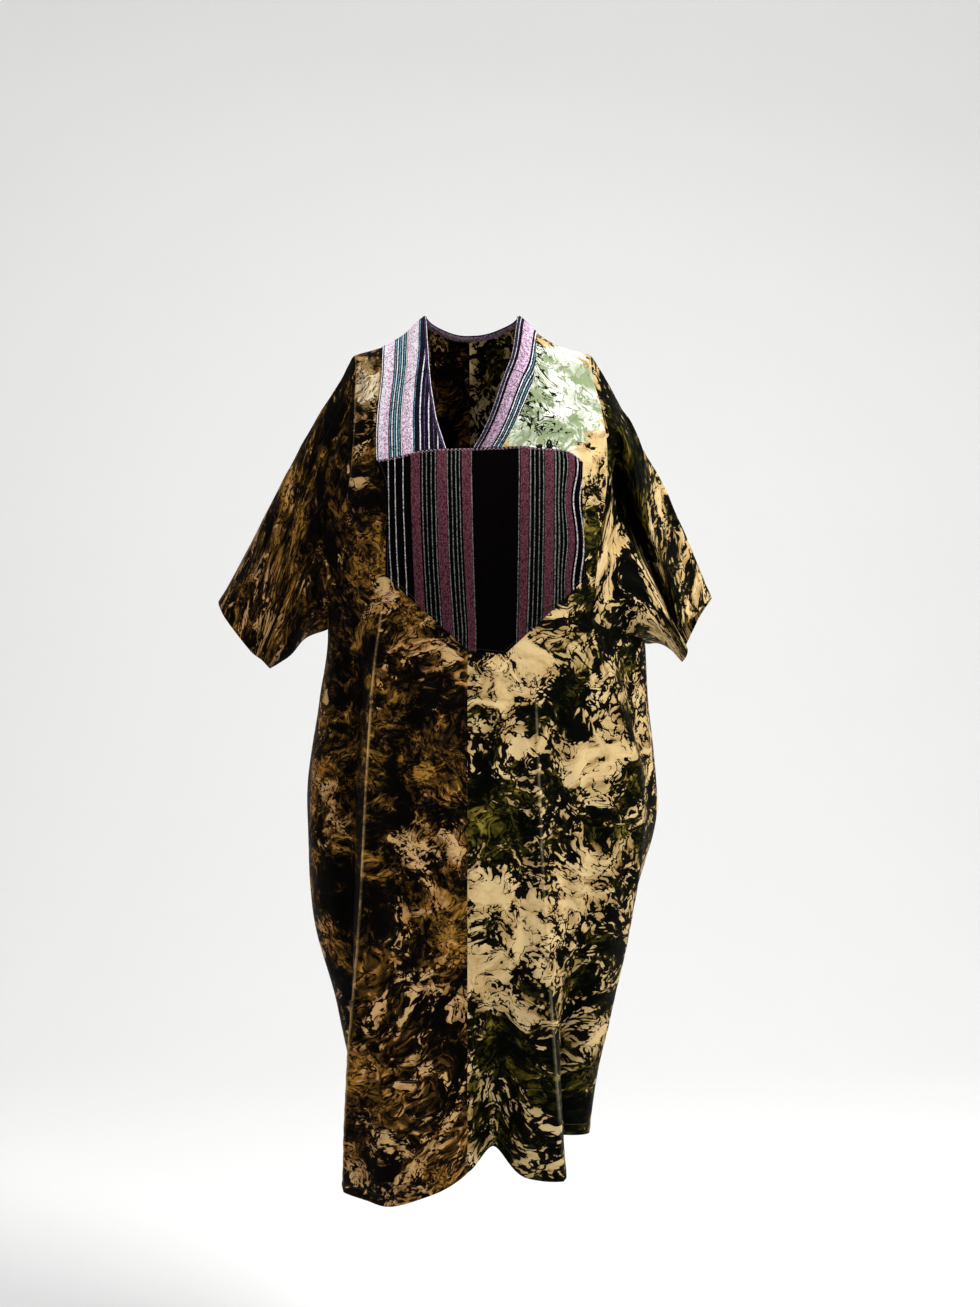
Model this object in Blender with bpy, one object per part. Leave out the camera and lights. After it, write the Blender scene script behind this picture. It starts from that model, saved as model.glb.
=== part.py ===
"""A loose adire dress, hanging as it is worn, with nobody in it.

The cloth is one hollow form: level sections give the tube of the body, folds push that
tube in and out, and two sleeves are lofted from the armholes to the cuffs. The pieces
are cut out of that form as a maker cuts them: two fronts, two backs, two sleeves, the
striped chest panel and the three lengths of neckband. Each front and back is one length of
cloth, and is parted at three levels into solids that are simple enough for collision.

Frame: +X to the wearer's left, -Y to the front, +Z up, in metres. The origin lies midway
between the shoulders, level with their tips. "right" and "left" are the wearer's.
"""

from collections import namedtuple

import bpy
import numpy as np
from mathutils import Vector
from mathutils.geometry import delaunay_2d_cdt
from mathutils.kdtree import KDTree

# Cloth
CLOTH = 0.0016  # wall of the fronts, backs and sleeves
STRIP_CLOTH = 0.0012  # wall of the chest panel and the neckband
SEAM_GAP = 0.0003  # between two pieces at a seam, and under what lies on a panel

# Driving sizes
CENTRE_X = -0.004  # the seam down the middle of the front and the back
SIDE_Y = 0.004  # the side seams and the shoulder seams lie in this plane
HEM_DROP = 1.045  # shoulder tips to the middle height of the hem
UNDERARM_RIGHT = 0.365  # drop of the underarm point
UNDERARM_LEFT = 0.385
SLOPE_FADES = 0.24  # the sections lie level below this drop
FRONT_POWER = 2.7  # how square the front of a section is: 2 is an ellipse
BACK_POWER = 2.3

# Mesh
COLUMN = 0.017  # across the cloth
UPPER_ROW = 0.021  # down the cloth, above the end of the chest panel
LOWER_ROW = 0.040
EDGE_STEP = 0.020
DIAGONAL_ORDER = (1.0, 3.7, 7.3)
SAME_PLACE = 0.00005  # points of two pieces this close are one point of their seam
CHEST_END = 0.42
LEVEL_RUNS = (0.165, 0.455, 0.80)  # the long halves are parted into shorter solids here
LEVEL_NAMES = ("yoke", "bodice", "waist", "skirt")

Section = namedtuple("Section", "drop right_x left_x front_y back_y")
SECTIONS = (
    Section(0.000, -0.155, 0.156, 0.004, 0.004),
    Section(0.005, -0.156, 0.158, -0.012, 0.024),
    Section(0.020, -0.158, 0.162, -0.030, 0.046),
    Section(0.060, -0.165, 0.172, -0.056, 0.072),
    Section(0.120, -0.175, 0.186, -0.094, 0.096),
    Section(0.200, -0.184, 0.198, -0.128, 0.112),
    Section(0.280, -0.187, 0.208, -0.141, 0.118),
    Section(0.375, -0.187, 0.225, -0.146, 0.122),
    Section(0.460, -0.198, 0.230, -0.152, 0.130),
    Section(0.590, -0.213, 0.241, -0.157, 0.140),
    Section(0.720, -0.207, 0.213, -0.158, 0.143),
    Section(0.850, -0.173, 0.188, -0.156, 0.140),
    Section(0.970, -0.150, 0.162, -0.150, 0.134),
    Section(1.045, -0.137, 0.151, -0.146, 0.130),
)

# Height of the shoulder seam above the shoulder tips' level, by distance from the middle.
Shoulder = namedtuple("Shoulder", "out rise")
SHOULDERS = (
    Shoulder(0.000, 0.052),
    Shoulder(0.035, 0.050),
    Shoulder(0.061, 0.043),
    Shoulder(0.090, 0.018),
    Shoulder(0.118, 0.003),
    Shoulder(0.160, -0.008),
)

# A fold's crest runs down through these (drop, x) places; its trough lies beside it.
Fold = namedtuple(
    "Fold", "name face path start full crest hem_crest width trough hem_trough offset trough_width"
)
FOLDS = (
    Fold(
        "right_front_ridge", "front",
        ((0.30, -0.106), (0.46, -0.118), (0.59, -0.125), (0.85, -0.130), (1.045, -0.128)),
        0.28, 0.46, 0.013, 0.036, 0.026, 0.024, 0.030, -0.044, 0.032,
    ),
    Fold(
        "left_front_ridge", "front",
        ((0.38, 0.078), (0.59, 0.084), (0.85, 0.094), (1.045, 0.098)),
        0.37, 0.66, 0.008, 0.042, 0.024, 0.014, 0.060, 0.044, 0.028,
    ),
    Fold(
        "left_side_ridge", "front",
        ((0.28, 0.143), (0.375, 0.160), (0.46, 0.182), (0.59, 0.212), (0.75, 0.196), (1.045, 0.140)),
        0.27, 0.42, 0.008, 0.002, 0.028, 0.012, 0.000, 0.036, 0.026,
    ),
    Fold(
        "middle_hollow", "front",
        ((0.60, 0.010), (1.045, 0.034)),
        0.70, 1.045, 0.0, 0.0, 0.030, 0.052, 0.052, 0.0, 0.046,
    ),
    Fold(
        "right_front_swell", "front",
        ((0.60, -0.070), (1.045, -0.088)),
        0.62, 1.045, 0.014, 0.018, 0.040, 0.0, 0.0, 0.0, 0.030,
    ),
    Fold(
        "right_back_ridge", "back",
        ((0.25, -0.090), (0.59, -0.112), (1.045, -0.092)),
        0.20, 0.80, 0.012, 0.020, 0.030, 0.018, 0.030, 0.046, 0.030,
    ),
    Fold(
        "left_back_ridge", "back",
        ((0.25, 0.098), (0.59, 0.120), (1.045, 0.100)),
        0.24, 0.80, 0.012, 0.022, 0.030, 0.020, 0.032, -0.048, 0.030,
    ),
    Fold(
        "middle_back_ridge", "back",
        ((0.40, 0.006), (1.045, 0.014)),
        0.45, 1.00, 0.006, 0.018, 0.034, 0.0, 0.0, 0.0, 0.030,
    ),
)

# How far the hem is off its level. place: 0 middle front, 1 side seam, 2 middle back.
Hem = namedtuple("Hem", "place shift")
HEM = (
    Hem(-2.00, 0.000),
    Hem(-1.40, -0.004),
    Hem(-1.00, -0.014),
    Hem(-0.80, -0.026),
    Hem(-0.45, -0.038),
    Hem(-0.22, -0.022),
    Hem(0.00, 0.001),
    Hem(0.14, 0.027),
    Hem(0.31, -0.004),
    Hem(0.41, 0.000),
    Hem(0.56, 0.036),
    Hem(0.75, 0.032),
    Hem(1.00, 0.022),
    Hem(1.50, 0.004),
    Hem(2.00, 0.000),
)
HEM_SHIFT_FROM = 0.66  # share of the drop where the shift begins

# Outlines seen from the front, as (x, z)
NECK_SIDE = 0.061
RIGHT_NECKLINE = ((-0.0565, -0.001), (-0.0530, -0.044), (-0.0480, -0.080), (-0.0430, -0.107))
LEFT_NECKLINE = ((0.0535, -0.008), (0.0410, -0.047), (0.0275, -0.090), (0.0150, -0.121))
NECK_CORNERS = ((-0.0320, -0.1425), (0.0035, -0.1420))
RIGHT_BAND_TOP = -0.117
RIGHT_BAND_EDGE = ((-0.1165, -0.040), (-0.1195, -0.080), (-0.1205, -0.115))
LEFT_BAND_TOP = 0.084
LEFT_BAND_EDGE = ((0.0820, -0.021), (0.0765, -0.054), (0.0665, -0.086), (0.0535, -0.111))
LEFT_BAND_FOOT = (0.0385, -0.1405)
CHEST_TOP = ((0.0785, -0.1400), (0.1105, -0.1415), (0.1265, -0.1460))
CHEST_TOP_CORNERS = ((-0.1190, -0.1560), (0.1405, -0.1570))
CHEST_LEFT_EDGE = ((0.1395, -0.195), (0.1410, -0.245))
CHEST_SIDE_CORNERS = ((-0.1060, -0.3010), (0.1430, -0.3030))
CHEST_FOOT = ((-0.0025, -0.3950), (0.0420, -0.3990))
CHEST_RIGHT_EDGE = ((-0.1055, -0.264), (-0.1035, -0.225), (-0.1085, -0.185))
RIGHT_ARMHOLE_FRONT = (
    (-0.1515, -0.068), (-0.1515, -0.140), (-0.1565, -0.190), (-0.1600, -0.242), (-0.1690, -0.305),
)
LEFT_ARMHOLE_FRONT = (
    (0.1580, -0.039), (0.1665, -0.074), (0.1720, -0.111), (0.1735, -0.149), (0.1720, -0.183),
    (0.1665, -0.229), (0.1600, -0.271), (0.1570, -0.320), (0.1640, -0.364),
)
RIGHT_ARMHOLE_BACK = ((-0.156, -0.060), (-0.162, -0.140), (-0.168, -0.220), (-0.176, -0.300))
LEFT_ARMHOLE_BACK = ((0.160, -0.060), (0.168, -0.140), (0.178, -0.220), (0.196, -0.310))

# The back of the neck, as runs down the back from the shoulder seam
NAPE_RUN = 0.055
BACK_BAND_RUN = 0.102

# Each line runs along a sleeve from its place on the armhole: 0 is the shoulder tip,
# 0.5 the underarm, and the back lies between 0.5 and 1.
SleeveLine = namedtuple("SleeveLine", "name loop third two_thirds cuff")
RIGHT_SLEEVE = (
    SleeveLine("top", 0.00, (-0.211, 0.004, -0.105), (-0.271, 0.002, -0.216), (-0.331, 0.000, -0.330)),
    SleeveLine("front_upper", 0.17, (-0.194, -0.042, -0.160), (-0.256, -0.046, -0.262), (-0.317, -0.040, -0.353)),
    SleeveLine("front_lower", 0.34, (-0.197, -0.076, -0.256), (-0.242, -0.066, -0.324), (-0.284, -0.044, -0.395)),
    SleeveLine("front_foot", 0.43, (-0.214, -0.070, -0.330), (-0.244, -0.050, -0.366), (-0.272, -0.028, -0.406)),
    SleeveLine("bottom", 0.50, (-0.218, -0.002, -0.377), (-0.239, -0.002, -0.400), (-0.265, 0.000, -0.417)),
    SleeveLine("back_lower", 0.67, (-0.202, 0.056, -0.285), (-0.245, 0.054, -0.335), (-0.285, 0.044, -0.392)),
    SleeveLine("back_upper", 0.84, (-0.202, 0.048, -0.165), (-0.262, 0.048, -0.262), (-0.319, 0.038, -0.350)),
)
LEFT_SLEEVE = (
    SleeveLine("top", 0.00, (0.212, 0.004, -0.105), (0.262, 0.002, -0.204), (0.312, -0.002, -0.325)),
    SleeveLine("front_ridge", 0.09, (0.197, -0.048, -0.122), (0.220, -0.070, -0.214), (0.272, -0.062, -0.362)),
    SleeveLine("front_hollow", 0.20, (0.190, -0.020, -0.172), (0.224, -0.020, -0.262), (0.262, -0.026, -0.362)),
    SleeveLine("lobe_top", 0.33, (0.196, -0.088, -0.286), (0.232, -0.078, -0.312), (0.270, -0.050, -0.381)),
    SleeveLine("lobe_foot", 0.42, (0.214, -0.100, -0.352), (0.246, -0.072, -0.364), (0.279, -0.032, -0.396)),
    SleeveLine("bottom", 0.50, (0.245, -0.004, -0.385), (0.260, -0.004, -0.394), (0.275, -0.002, -0.409)),
    SleeveLine("back_lower", 0.67, (0.220, 0.062, -0.300), (0.252, 0.056, -0.340), (0.284, 0.038, -0.388)),
    SleeveLine("back_upper", 0.84, (0.203, 0.050, -0.170), (0.250, 0.050, -0.262), (0.300, 0.032, -0.352)),
)
SLEEVE_ALONG = 11  # rings from the armhole to the cuff

Finish = namedtuple("Finish", "name colour roughness")
BROWN_ADIRE = Finish("brown_adire", (0.060, 0.036, 0.014), 0.55)
GREEN_ADIRE = Finish("green_adire", (0.360, 0.300, 0.160), 0.55)
CHEST_STRIPE = Finish("chest_stripe", (0.045, 0.012, 0.022), 0.75)
NECK_STRIPE = Finish("neck_stripe", (0.420, 0.250, 0.420), 0.75)


# Curves through a few values


def steps(rows, column, at):
    """A smooth curve through one column of a table whose first column is its place."""
    x = np.array([row[0] for row in rows])
    y = np.array([getattr(row, column) for row in rows])
    return smooth(x, y, at)


def smooth(x, y, at):
    """Cubic Hermite curve through (x, y), with limited slopes so that it never overshoots."""
    gap = np.diff(x)
    slope = np.diff(y) / gap
    tangent = np.empty(len(x))
    tangent[0], tangent[-1] = slope[0], slope[-1]
    same_way = slope[1:] * slope[:-1] > 0
    mean = 2.0 * slope[1:] * slope[:-1] / np.where(same_way, slope[1:] + slope[:-1], 1.0)
    tangent[1:-1] = np.where(same_way, mean, 0.0)
    at = np.clip(at, x[0], x[-1])
    i = np.clip(np.searchsorted(x, at, side="right") - 1, 0, len(x) - 2)
    t = (at - x[i]) / gap[i]
    rise = t * t * (3 - 2 * t)
    bend = gap[i] * (tangent[i] * t * (1 - t) ** 2 - tangent[i + 1] * t * t * (1 - t))
    return y[i] + (y[i + 1] - y[i]) * rise + bend


def step_up(low, high, at):
    """0 below low, 1 above high, and a soft step between them."""
    t = np.clip((np.asarray(at, float) - low) / (high - low), 0, 1)
    return t * t * (3 - 2 * t)


def spaced(points, spacing):
    """The polyline again, with points about that far apart."""
    points = np.asarray(points, float)
    along = np.concatenate([[0], np.cumsum(np.linalg.norm(np.diff(points, axis=0), axis=1))])
    at = np.linspace(0, along[-1], max(2, round(along[-1] / spacing) + 1))
    return np.stack([np.interp(at, along, points[:, k]) for k in range(points.shape[1])], axis=1)


def curved(points, fine=12):
    """A fine polyline on the Catmull-Rom curve through the points."""
    p = np.asarray(points, float)
    p = np.vstack([2 * p[0] - p[1], p, 2 * p[-1] - p[-2]])
    out = []
    for a, b, c, d in zip(p[:-3], p[1:-2], p[2:-1], p[3:]):
        for t in np.linspace(0, 1, fine, endpoint=False):
            out.append(catmull_rom(a, b, c, d, t))
    return np.array([*out, p[-2]])


def catmull_rom(a, b, c, d, t):
    """The point at t between b and c."""
    return 0.5 * (2 * b + (c - a) * t + (2 * a - 5 * b + 4 * c - d) * t**2 + (3 * b - a - 3 * c + d) * t**3)


# The form of the body


def shoulder_rise(x):
    return steps(SHOULDERS, "rise", np.abs(x))


def level_of(x, drop):
    """Height of a place on the form before the hem is shifted."""
    return shoulder_rise(x) * (1 - step_up(0, SLOPE_FADES, drop)) - drop


class Quarter:
    """A quarter of the tube: front or back, right or left of the middle seam.

    It holds a fine table of the form's points, by drop and by share of the way from
    the middle seam to the side seam.
    """

    DROPS = np.linspace(0, 1, 181) ** 2 * HEM_DROP
    SHARES = np.linspace(0, 1, 81)

    def __init__(self, face, side):
        self.sign = -1 if side == "right" else 1
        edge_x = steps(SECTIONS, side + "_x", self.DROPS)
        middle_y = np.sqrt(self.DROPS)  # a seam that rolls over the shoulder is smooth in this
        roots = np.sqrt([row.drop for row in SECTIONS])
        middle_y = smooth(roots, np.array([getattr(row, face + "_y") for row in SECTIONS]), middle_y)
        power = FRONT_POWER if face == "front" else BACK_POWER
        turn = (1 - np.cos(np.linspace(0, np.pi, 161))) * np.pi / 4
        reach = np.sin(turn) ** (2 / power)
        depth = np.cos(turn).clip(0) ** (2 / power)
        self.x, self.y, self.length = [], [], []
        for edge, middle in zip(edge_x, middle_y):
            x = CENTRE_X + (edge - CENTRE_X) * reach
            y = SIDE_Y + (middle - SIDE_Y) * depth
            along = np.concatenate([[0], np.cumsum(np.hypot(np.diff(x), np.diff(y)))])
            self.x.append(np.interp(self.SHARES * along[-1], along, x))
            self.y.append(np.interp(self.SHARES * along[-1], along, y))
            self.length.append(along[-1])
        self.x, self.y, self.length = np.array(self.x), np.array(self.y), np.array(self.length)
        across = np.gradient(self.x, axis=1), np.gradient(self.y, axis=1)
        size = np.hypot(*across)
        outward = -1 if face == "front" else 1
        self.normal_x = -across[1] / size * self.sign * outward
        self.normal_y = across[0] / size * self.sign * outward
        # The quarters meet square to the planes of their seams.
        self.normal_x[:, 0], self.normal_y[:, 0] = 0, outward
        self.normal_x[:, -1], self.normal_y[:, -1] = self.sign, 0
        middle_z = level_of(CENTRE_X, self.DROPS)
        self.run = np.concatenate(
            [[0], np.cumsum(np.hypot(np.diff(middle_y), np.diff(middle_z)))]
        )

    def look_up(self, table, share, drop):
        """Bilinear value of a table at shares and drops."""
        row = np.interp(drop, self.DROPS, np.arange(len(self.DROPS)))
        column = np.clip(share, 0, 1) * (len(self.SHARES) - 1)
        i = np.minimum(row.astype(int), len(self.DROPS) - 2)
        j = np.minimum(column.astype(int), len(self.SHARES) - 2)
        a, b = row - i, column - j
        near = table[i, j] * (1 - b) + table[i, j + 1] * b
        far = table[i + 1, j] * (1 - b) + table[i + 1, j + 1] * b
        return near * (1 - a) + far * a

    def half(self, drop):
        """Length of the section from the middle seam to the side seam."""
        return np.interp(drop, self.DROPS, self.length)

    def across(self, x, drop):
        """Distance from the middle seam of the place with this x."""
        row = int(round(float(np.interp(drop, self.DROPS, np.arange(len(self.DROPS))))))
        reach = (self.x[row] - CENTRE_X) * self.sign
        return float(np.interp((x - CENTRE_X) * self.sign, reach, self.SHARES)) * self.half(drop)


QUARTERS = {(face, side): Quarter(face, side) for face in ("front", "back") for side in ("right", "left")}


def quarters_of(face):
    return QUARTERS[face, "right"], QUARTERS[face, "left"]


def crest_place(fold, drop):
    """Signed distance of a fold's crest from its face's middle seam, at each drop."""
    path = np.array(fold.path)
    x = smooth(path[:, 0], path[:, 1], drop)
    right, left = quarters_of(fold.face)
    return np.array([
        -right.across(a, b) if a < CENTRE_X else left.across(a, b) for a, b in zip(x, drop)
    ])


FOLD_DROPS = np.linspace(0, HEM_DROP, 106)
CREST_PLACES = {fold.name: crest_place(fold, FOLD_DROPS) for fold in FOLDS}


def push(from_front, from_back, drop):
    """How far the folds push the cloth out, by distance from each middle seam."""
    total = np.zeros(len(drop))
    for fold in FOLDS:
        place = from_front if fold.face == "front" else from_back
        beside = place - np.interp(drop, FOLD_DROPS, CREST_PLACES[fold.name])
        to_hem = step_up(fold.full, HEM_DROP + 1e-6, drop)
        crest = fold.crest + (fold.hem_crest - fold.crest) * to_hem
        trough = fold.trough + (fold.hem_trough - fold.trough) * to_hem
        shape = crest * np.exp(-np.abs(beside / fold.width) ** 1.5)
        shape -= trough * np.exp(-(((beside - fold.offset) / fold.trough_width) ** 2))
        total += shape * step_up(fold.start, fold.full, drop)
    return total


def body_points(face, across, run):
    """Points of the cloth's middle surface at (across, run) on the front or the back."""
    across, run = np.asarray(across, float), np.asarray(run, float)
    points = np.empty((len(across), 3))
    other = "back" if face == "front" else "front"
    for quarter, side in zip(quarters_of(face), ("right", "left")):
        mine = (across < 0) if side == "right" else (across >= 0)
        if not mine.any():
            continue
        drop = np.interp(run[mine], quarter.run, quarter.DROPS)
        half = quarter.half(drop)
        share = np.clip(np.abs(across[mine]) / half, 0, 1)
        round_it = quarter.sign * (QUARTERS[other, side].half(drop) + half * (1 - share))
        own = quarter.sign * share * half
        ways = (own, round_it) if face == "front" else (round_it, own)
        out = push(*ways, drop)
        x = quarter.look_up(quarter.x, share, drop)
        y = quarter.look_up(quarter.y, share, drop)
        place = quarter.sign * (share if face == "front" else 2 - share)
        shift = steps(HEM, "shift", place) * step_up(HEM_SHIFT_FROM * HEM_DROP, HEM_DROP, drop)
        points[mine, 0] = x + quarter.look_up(quarter.normal_x, share, drop) * out
        points[mine, 1] = y + quarter.look_up(quarter.normal_y, share, drop) * out
        points[mine, 2] = level_of(x, drop) + shift
    return points


# Places on the flat cloth: (across the cloth from the middle seam, run down from the shoulder)


def on_cloth(face, x, z):
    """The place on the flat cloth of a point seen from the front at (x, z)."""
    drop = -z
    for _ in range(30):
        drop = max(float(shoulder_rise(x) * (1 - step_up(0, SLOPE_FADES, drop))) - z, 0.0)
    quarter = quarters_of(face)[int(x >= CENTRE_X)]
    return quarter.sign * quarter.across(x, drop), float(np.interp(drop, quarter.DROPS, quarter.run))


def line_on_cloth(face, outline):
    return [on_cloth(face, x, z) for x, z in outline]


def shoulder_place(face, x):
    """The place on the shoulder seam with this x."""
    return x - CENTRE_X, 0.0


def side_place(face, side, drop):
    """The place on the side seam, or at the shoulder tip for no drop."""
    quarter = QUARTERS[face, side]
    return quarter.sign * float(quarter.half(drop)), float(np.interp(drop, quarter.DROPS, quarter.run))


def side_seam(face, side, underarm):
    """Side seam from the underarm to the hem, at the same heights on the front and the back."""
    count = round((HEM_DROP - underarm) / (LOWER_ROW * 0.7)) + 1
    return [side_place(face, side, drop) for drop in np.linspace(underarm, HEM_DROP, count)]


def armhole(face, side):
    """Edge of the armhole from the shoulder tip to the underarm."""
    middle = {
        ("front", "right"): RIGHT_ARMHOLE_FRONT,
        ("front", "left"): LEFT_ARMHOLE_FRONT,
        ("back", "right"): RIGHT_ARMHOLE_BACK,
        ("back", "left"): LEFT_ARMHOLE_BACK,
    }[face, side]
    underarm = UNDERARM_RIGHT if side == "right" else UNDERARM_LEFT
    ends = side_place(face, side, 0.0), side_place(face, side, underarm)
    return spaced(curved([ends[0], *line_on_cloth(face, middle), ends[1]]), EDGE_STEP)


def join(*lines):
    """One line from several that follow on, without the doubled ends."""
    out = [np.asarray(lines[0], float)]
    for line in lines[1:]:
        out.append(np.asarray(line, float)[1:])
    return np.vstack(out)


def back_ellipse(right_x, left_x, run):
    """A curve round the back of the neck, from the right shoulder seam to the left one."""
    turn = np.linspace(np.pi, 0, 25)
    out = np.where(np.cos(turn) < 0, CENTRE_X - right_x, left_x - CENTRE_X)
    return spaced(np.stack([np.cos(turn) * out, np.sin(turn) * run], axis=1), EDGE_STEP)


class Cut:
    """The lines along which the front and the back are cut."""

    def __init__(self):
        on_front = lambda line: line_on_cloth("front", line)
        right_neck, left_neck = shoulder_place("front", -NECK_SIDE), shoulder_place("front", NECK_SIDE)
        corners = on_front(NECK_CORNERS)
        self.right_neckline = spaced(
            curved([right_neck, *on_front(RIGHT_NECKLINE), corners[0]]), EDGE_STEP
        )
        self.left_neckline = spaced(curved([left_neck, *on_front(LEFT_NECKLINE), corners[1]]), EDGE_STEP)
        self.neck_foot = np.array([corners[0], (0.0, (corners[0][1] + corners[1][1]) / 2), corners[1]])
        top_right, top_left = on_front(CHEST_TOP_CORNERS)
        self.right_band_edge = spaced(
            curved([shoulder_place("front", RIGHT_BAND_TOP), *on_front(RIGHT_BAND_EDGE), top_right]),
            EDGE_STEP,
        )
        band_foot = on_front([LEFT_BAND_FOOT])[0]
        self.left_band_edge = spaced(
            curved([shoulder_place("front", LEFT_BAND_TOP), *on_front(LEFT_BAND_EDGE), band_foot]),
            EDGE_STEP,
        )
        side_right, side_left = on_front(CHEST_SIDE_CORNERS)
        foot_right, foot_left = on_front(CHEST_FOOT)
        self.right_band_foot = spaced([top_right, corners[0]], EDGE_STEP)
        self.left_band_foot = spaced([corners[1], band_foot], EDGE_STEP)
        self.chest_top = spaced(curved([band_foot, *on_front(CHEST_TOP), top_left]), EDGE_STEP)
        self.chest_left = spaced(curved([top_left, *on_front(CHEST_LEFT_EDGE), side_left]), EDGE_STEP)
        self.chest_right = spaced(
            curved([side_right, *on_front(CHEST_RIGHT_EDGE), top_right]), EDGE_STEP
        )
        foot_middle = (0.0, foot_right[1])
        self.chest_foot = join(
            spaced([side_left, foot_left], EDGE_STEP),
            spaced([foot_left, foot_middle], EDGE_STEP),
            spaced([foot_middle, foot_right], EDGE_STEP),
            spaced([foot_right, side_right], EDGE_STEP),
        )
        self.back_neckline = back_ellipse(-NECK_SIDE, NECK_SIDE, NAPE_RUN)
        self.back_band_edge = back_ellipse(RIGHT_BAND_TOP, LEFT_BAND_TOP, BACK_BAND_RUN)
        self.levels = {face: [self.level(face, run) for run in LEVEL_RUNS] for face in ("front", "back")}

    def shoulder(self, face, side):
        """Shoulder seam from the tip to the neck, with a point where the band's edge crosses it."""
        band, neck = (RIGHT_BAND_TOP, -NECK_SIDE) if side == "right" else (LEFT_BAND_TOP, NECK_SIDE)
        tip = side_place(face, side, 0.0)
        return join(
            spaced([tip, shoulder_place(face, band)], EDGE_STEP),
            spaced([shoulder_place(face, band), shoulder_place(face, neck)], EDGE_STEP),
        )

    def hem(self, face):
        right = side_place(face, "right", HEM_DROP)
        left = side_place(face, "left", HEM_DROP)
        middle = (0.0, (right[1] + left[1]) / 2)
        return join(spaced([left, middle], COLUMN), spaced([middle, right], COLUMN))

    def level(self, face, run):
        """A level line across the front or the back, between points of its outline."""
        right = join(armhole(face, "right"), side_seam(face, "right", UNDERARM_RIGHT))
        left = join(armhole(face, "left"), side_seam(face, "left", UNDERARM_LEFT))
        ends = [edge[np.abs(edge[:, 1] - run).argmin()] for edge in (right, left)]
        row = loose_points(face)
        row = row[np.abs(row[:, 1] - row[np.abs(row[:, 1] - run).argmin(), 1]) < 1e-9]
        row = row[(row[:, 0] > ends[0][0] + 0.6 * COLUMN) & (row[:, 0] < ends[1][0] - 0.6 * COLUMN)]
        return np.vstack([ends[:1], row, ends[1:]])

    def outline(self, face):
        """The whole outline of the front or the back."""
        down_left = join(armhole(face, "left"), side_seam(face, "left", UNDERARM_LEFT))
        up_right = join(armhole(face, "right"), side_seam(face, "right", UNDERARM_RIGHT))[::-1]
        if face == "front":
            neck = join(self.right_neckline, self.neck_foot, self.left_neckline[::-1])
        else:
            neck = self.back_neckline
        return join(
            self.shoulder(face, "right"), neck, self.shoulder(face, "left")[::-1],
            down_left, self.hem(face), up_right,
        )

    def right_band(self):
        top = spaced([shoulder_place("front", RIGHT_BAND_TOP), shoulder_place("front", -NECK_SIDE)], EDGE_STEP)
        return join(top, self.right_neckline, self.right_band_foot[::-1], self.right_band_edge[::-1])

    def left_band(self):
        top = spaced([shoulder_place("front", NECK_SIDE), shoulder_place("front", LEFT_BAND_TOP)], EDGE_STEP)
        return join(top, self.left_band_edge, self.left_band_foot[::-1], self.left_neckline[::-1])

    def back_band(self):
        return join(self.back_band_edge, [self.back_band_edge[-1], self.back_neckline[-1]],
                    self.back_neckline[::-1])

    def chest(self):
        return join(self.right_band_foot, self.neck_foot, self.left_band_foot, self.chest_top,
                    self.chest_left, self.chest_foot, self.chest_right)


# Triangles on the flat cloth


def inside(points, outline):
    """Which points lie inside a closed outline."""
    a, b = outline, np.roll(outline, -1, axis=0)
    x, y = points[:, :1], points[:, 1:]
    crosses = (a[:, 1] > y) != (b[:, 1] > y)
    rise = np.where(b[:, 1] == a[:, 1], 1e-12, b[:, 1] - a[:, 1])
    return (crosses & (x < (b[:, 0] - a[:, 0]) * (y - a[:, 1]) / rise + a[:, 0])).sum(axis=1) % 2 == 1


def middle_seam(face, start, end):
    rows = row_places(start, end)
    return np.array([(0.0, run) for run in rows])


def row_places(start, end):
    """Runs of the mesh's rows from start to end: close on the chest, wider below it."""
    turn = min(max(CHEST_END, start), end)
    upper = np.linspace(start, turn, max(2, round((turn - start) / UPPER_ROW) + 1))
    lower = np.linspace(turn, end, max(2, round((end - turn) / LOWER_ROW) + 1))
    return np.concatenate([upper, lower[1:]])


def crest_line(fold, start, end):
    """A fold's crest on the flat cloth, as points for the mesh to follow."""
    quarter = QUARTERS[fold.face, "left"]
    first, last = (float(np.interp(drop, quarter.DROPS, quarter.run)) for drop in (start, end))
    runs = row_places(0.0, float(quarter.run[-1]))
    runs = runs[(runs >= first - 1e-6) & (runs <= last + 1e-6)]
    drops = np.interp(runs, quarter.run, quarter.DROPS)
    return np.stack([np.interp(drops, FOLD_DROPS, CREST_PLACES[fold.name]), runs], axis=1)


def triangles(outline, lines, loose):
    """A constrained triangulation of an outline, through the lines and the loose points."""
    fixed = [outline, *lines]
    corners = np.vstack(fixed)
    spread = np.linalg.norm(loose[:, None] - corners[None], axis=2).min(axis=1)
    loose = loose[(spread > 0.55 * COLUMN) & inside(loose, outline)]
    edges, first = [], 0
    for line in fixed:
        edges += [(first + i, first + i + 1) for i in range(len(line) - 1)]
        first += len(line)
    points = [Vector(p) for p in np.vstack([corners, loose])]
    found = delaunay_2d_cdt(points, edges, [], 0, 1e-6)
    flat = np.array([tuple(p) for p in found[0]])
    faces = np.array([tuple(f) for f in found[2]])
    a, b, c = (flat[faces[:, k]] for k in range(3))
    area = (b[:, 0] - a[:, 0]) * (c[:, 1] - a[:, 1]) - (b[:, 1] - a[:, 1]) * (c[:, 0] - a[:, 0])
    kept = inside((a + b + c) / 3, outline) & (np.abs(area) > 1e-9)
    return flat, faces[kept]


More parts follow.
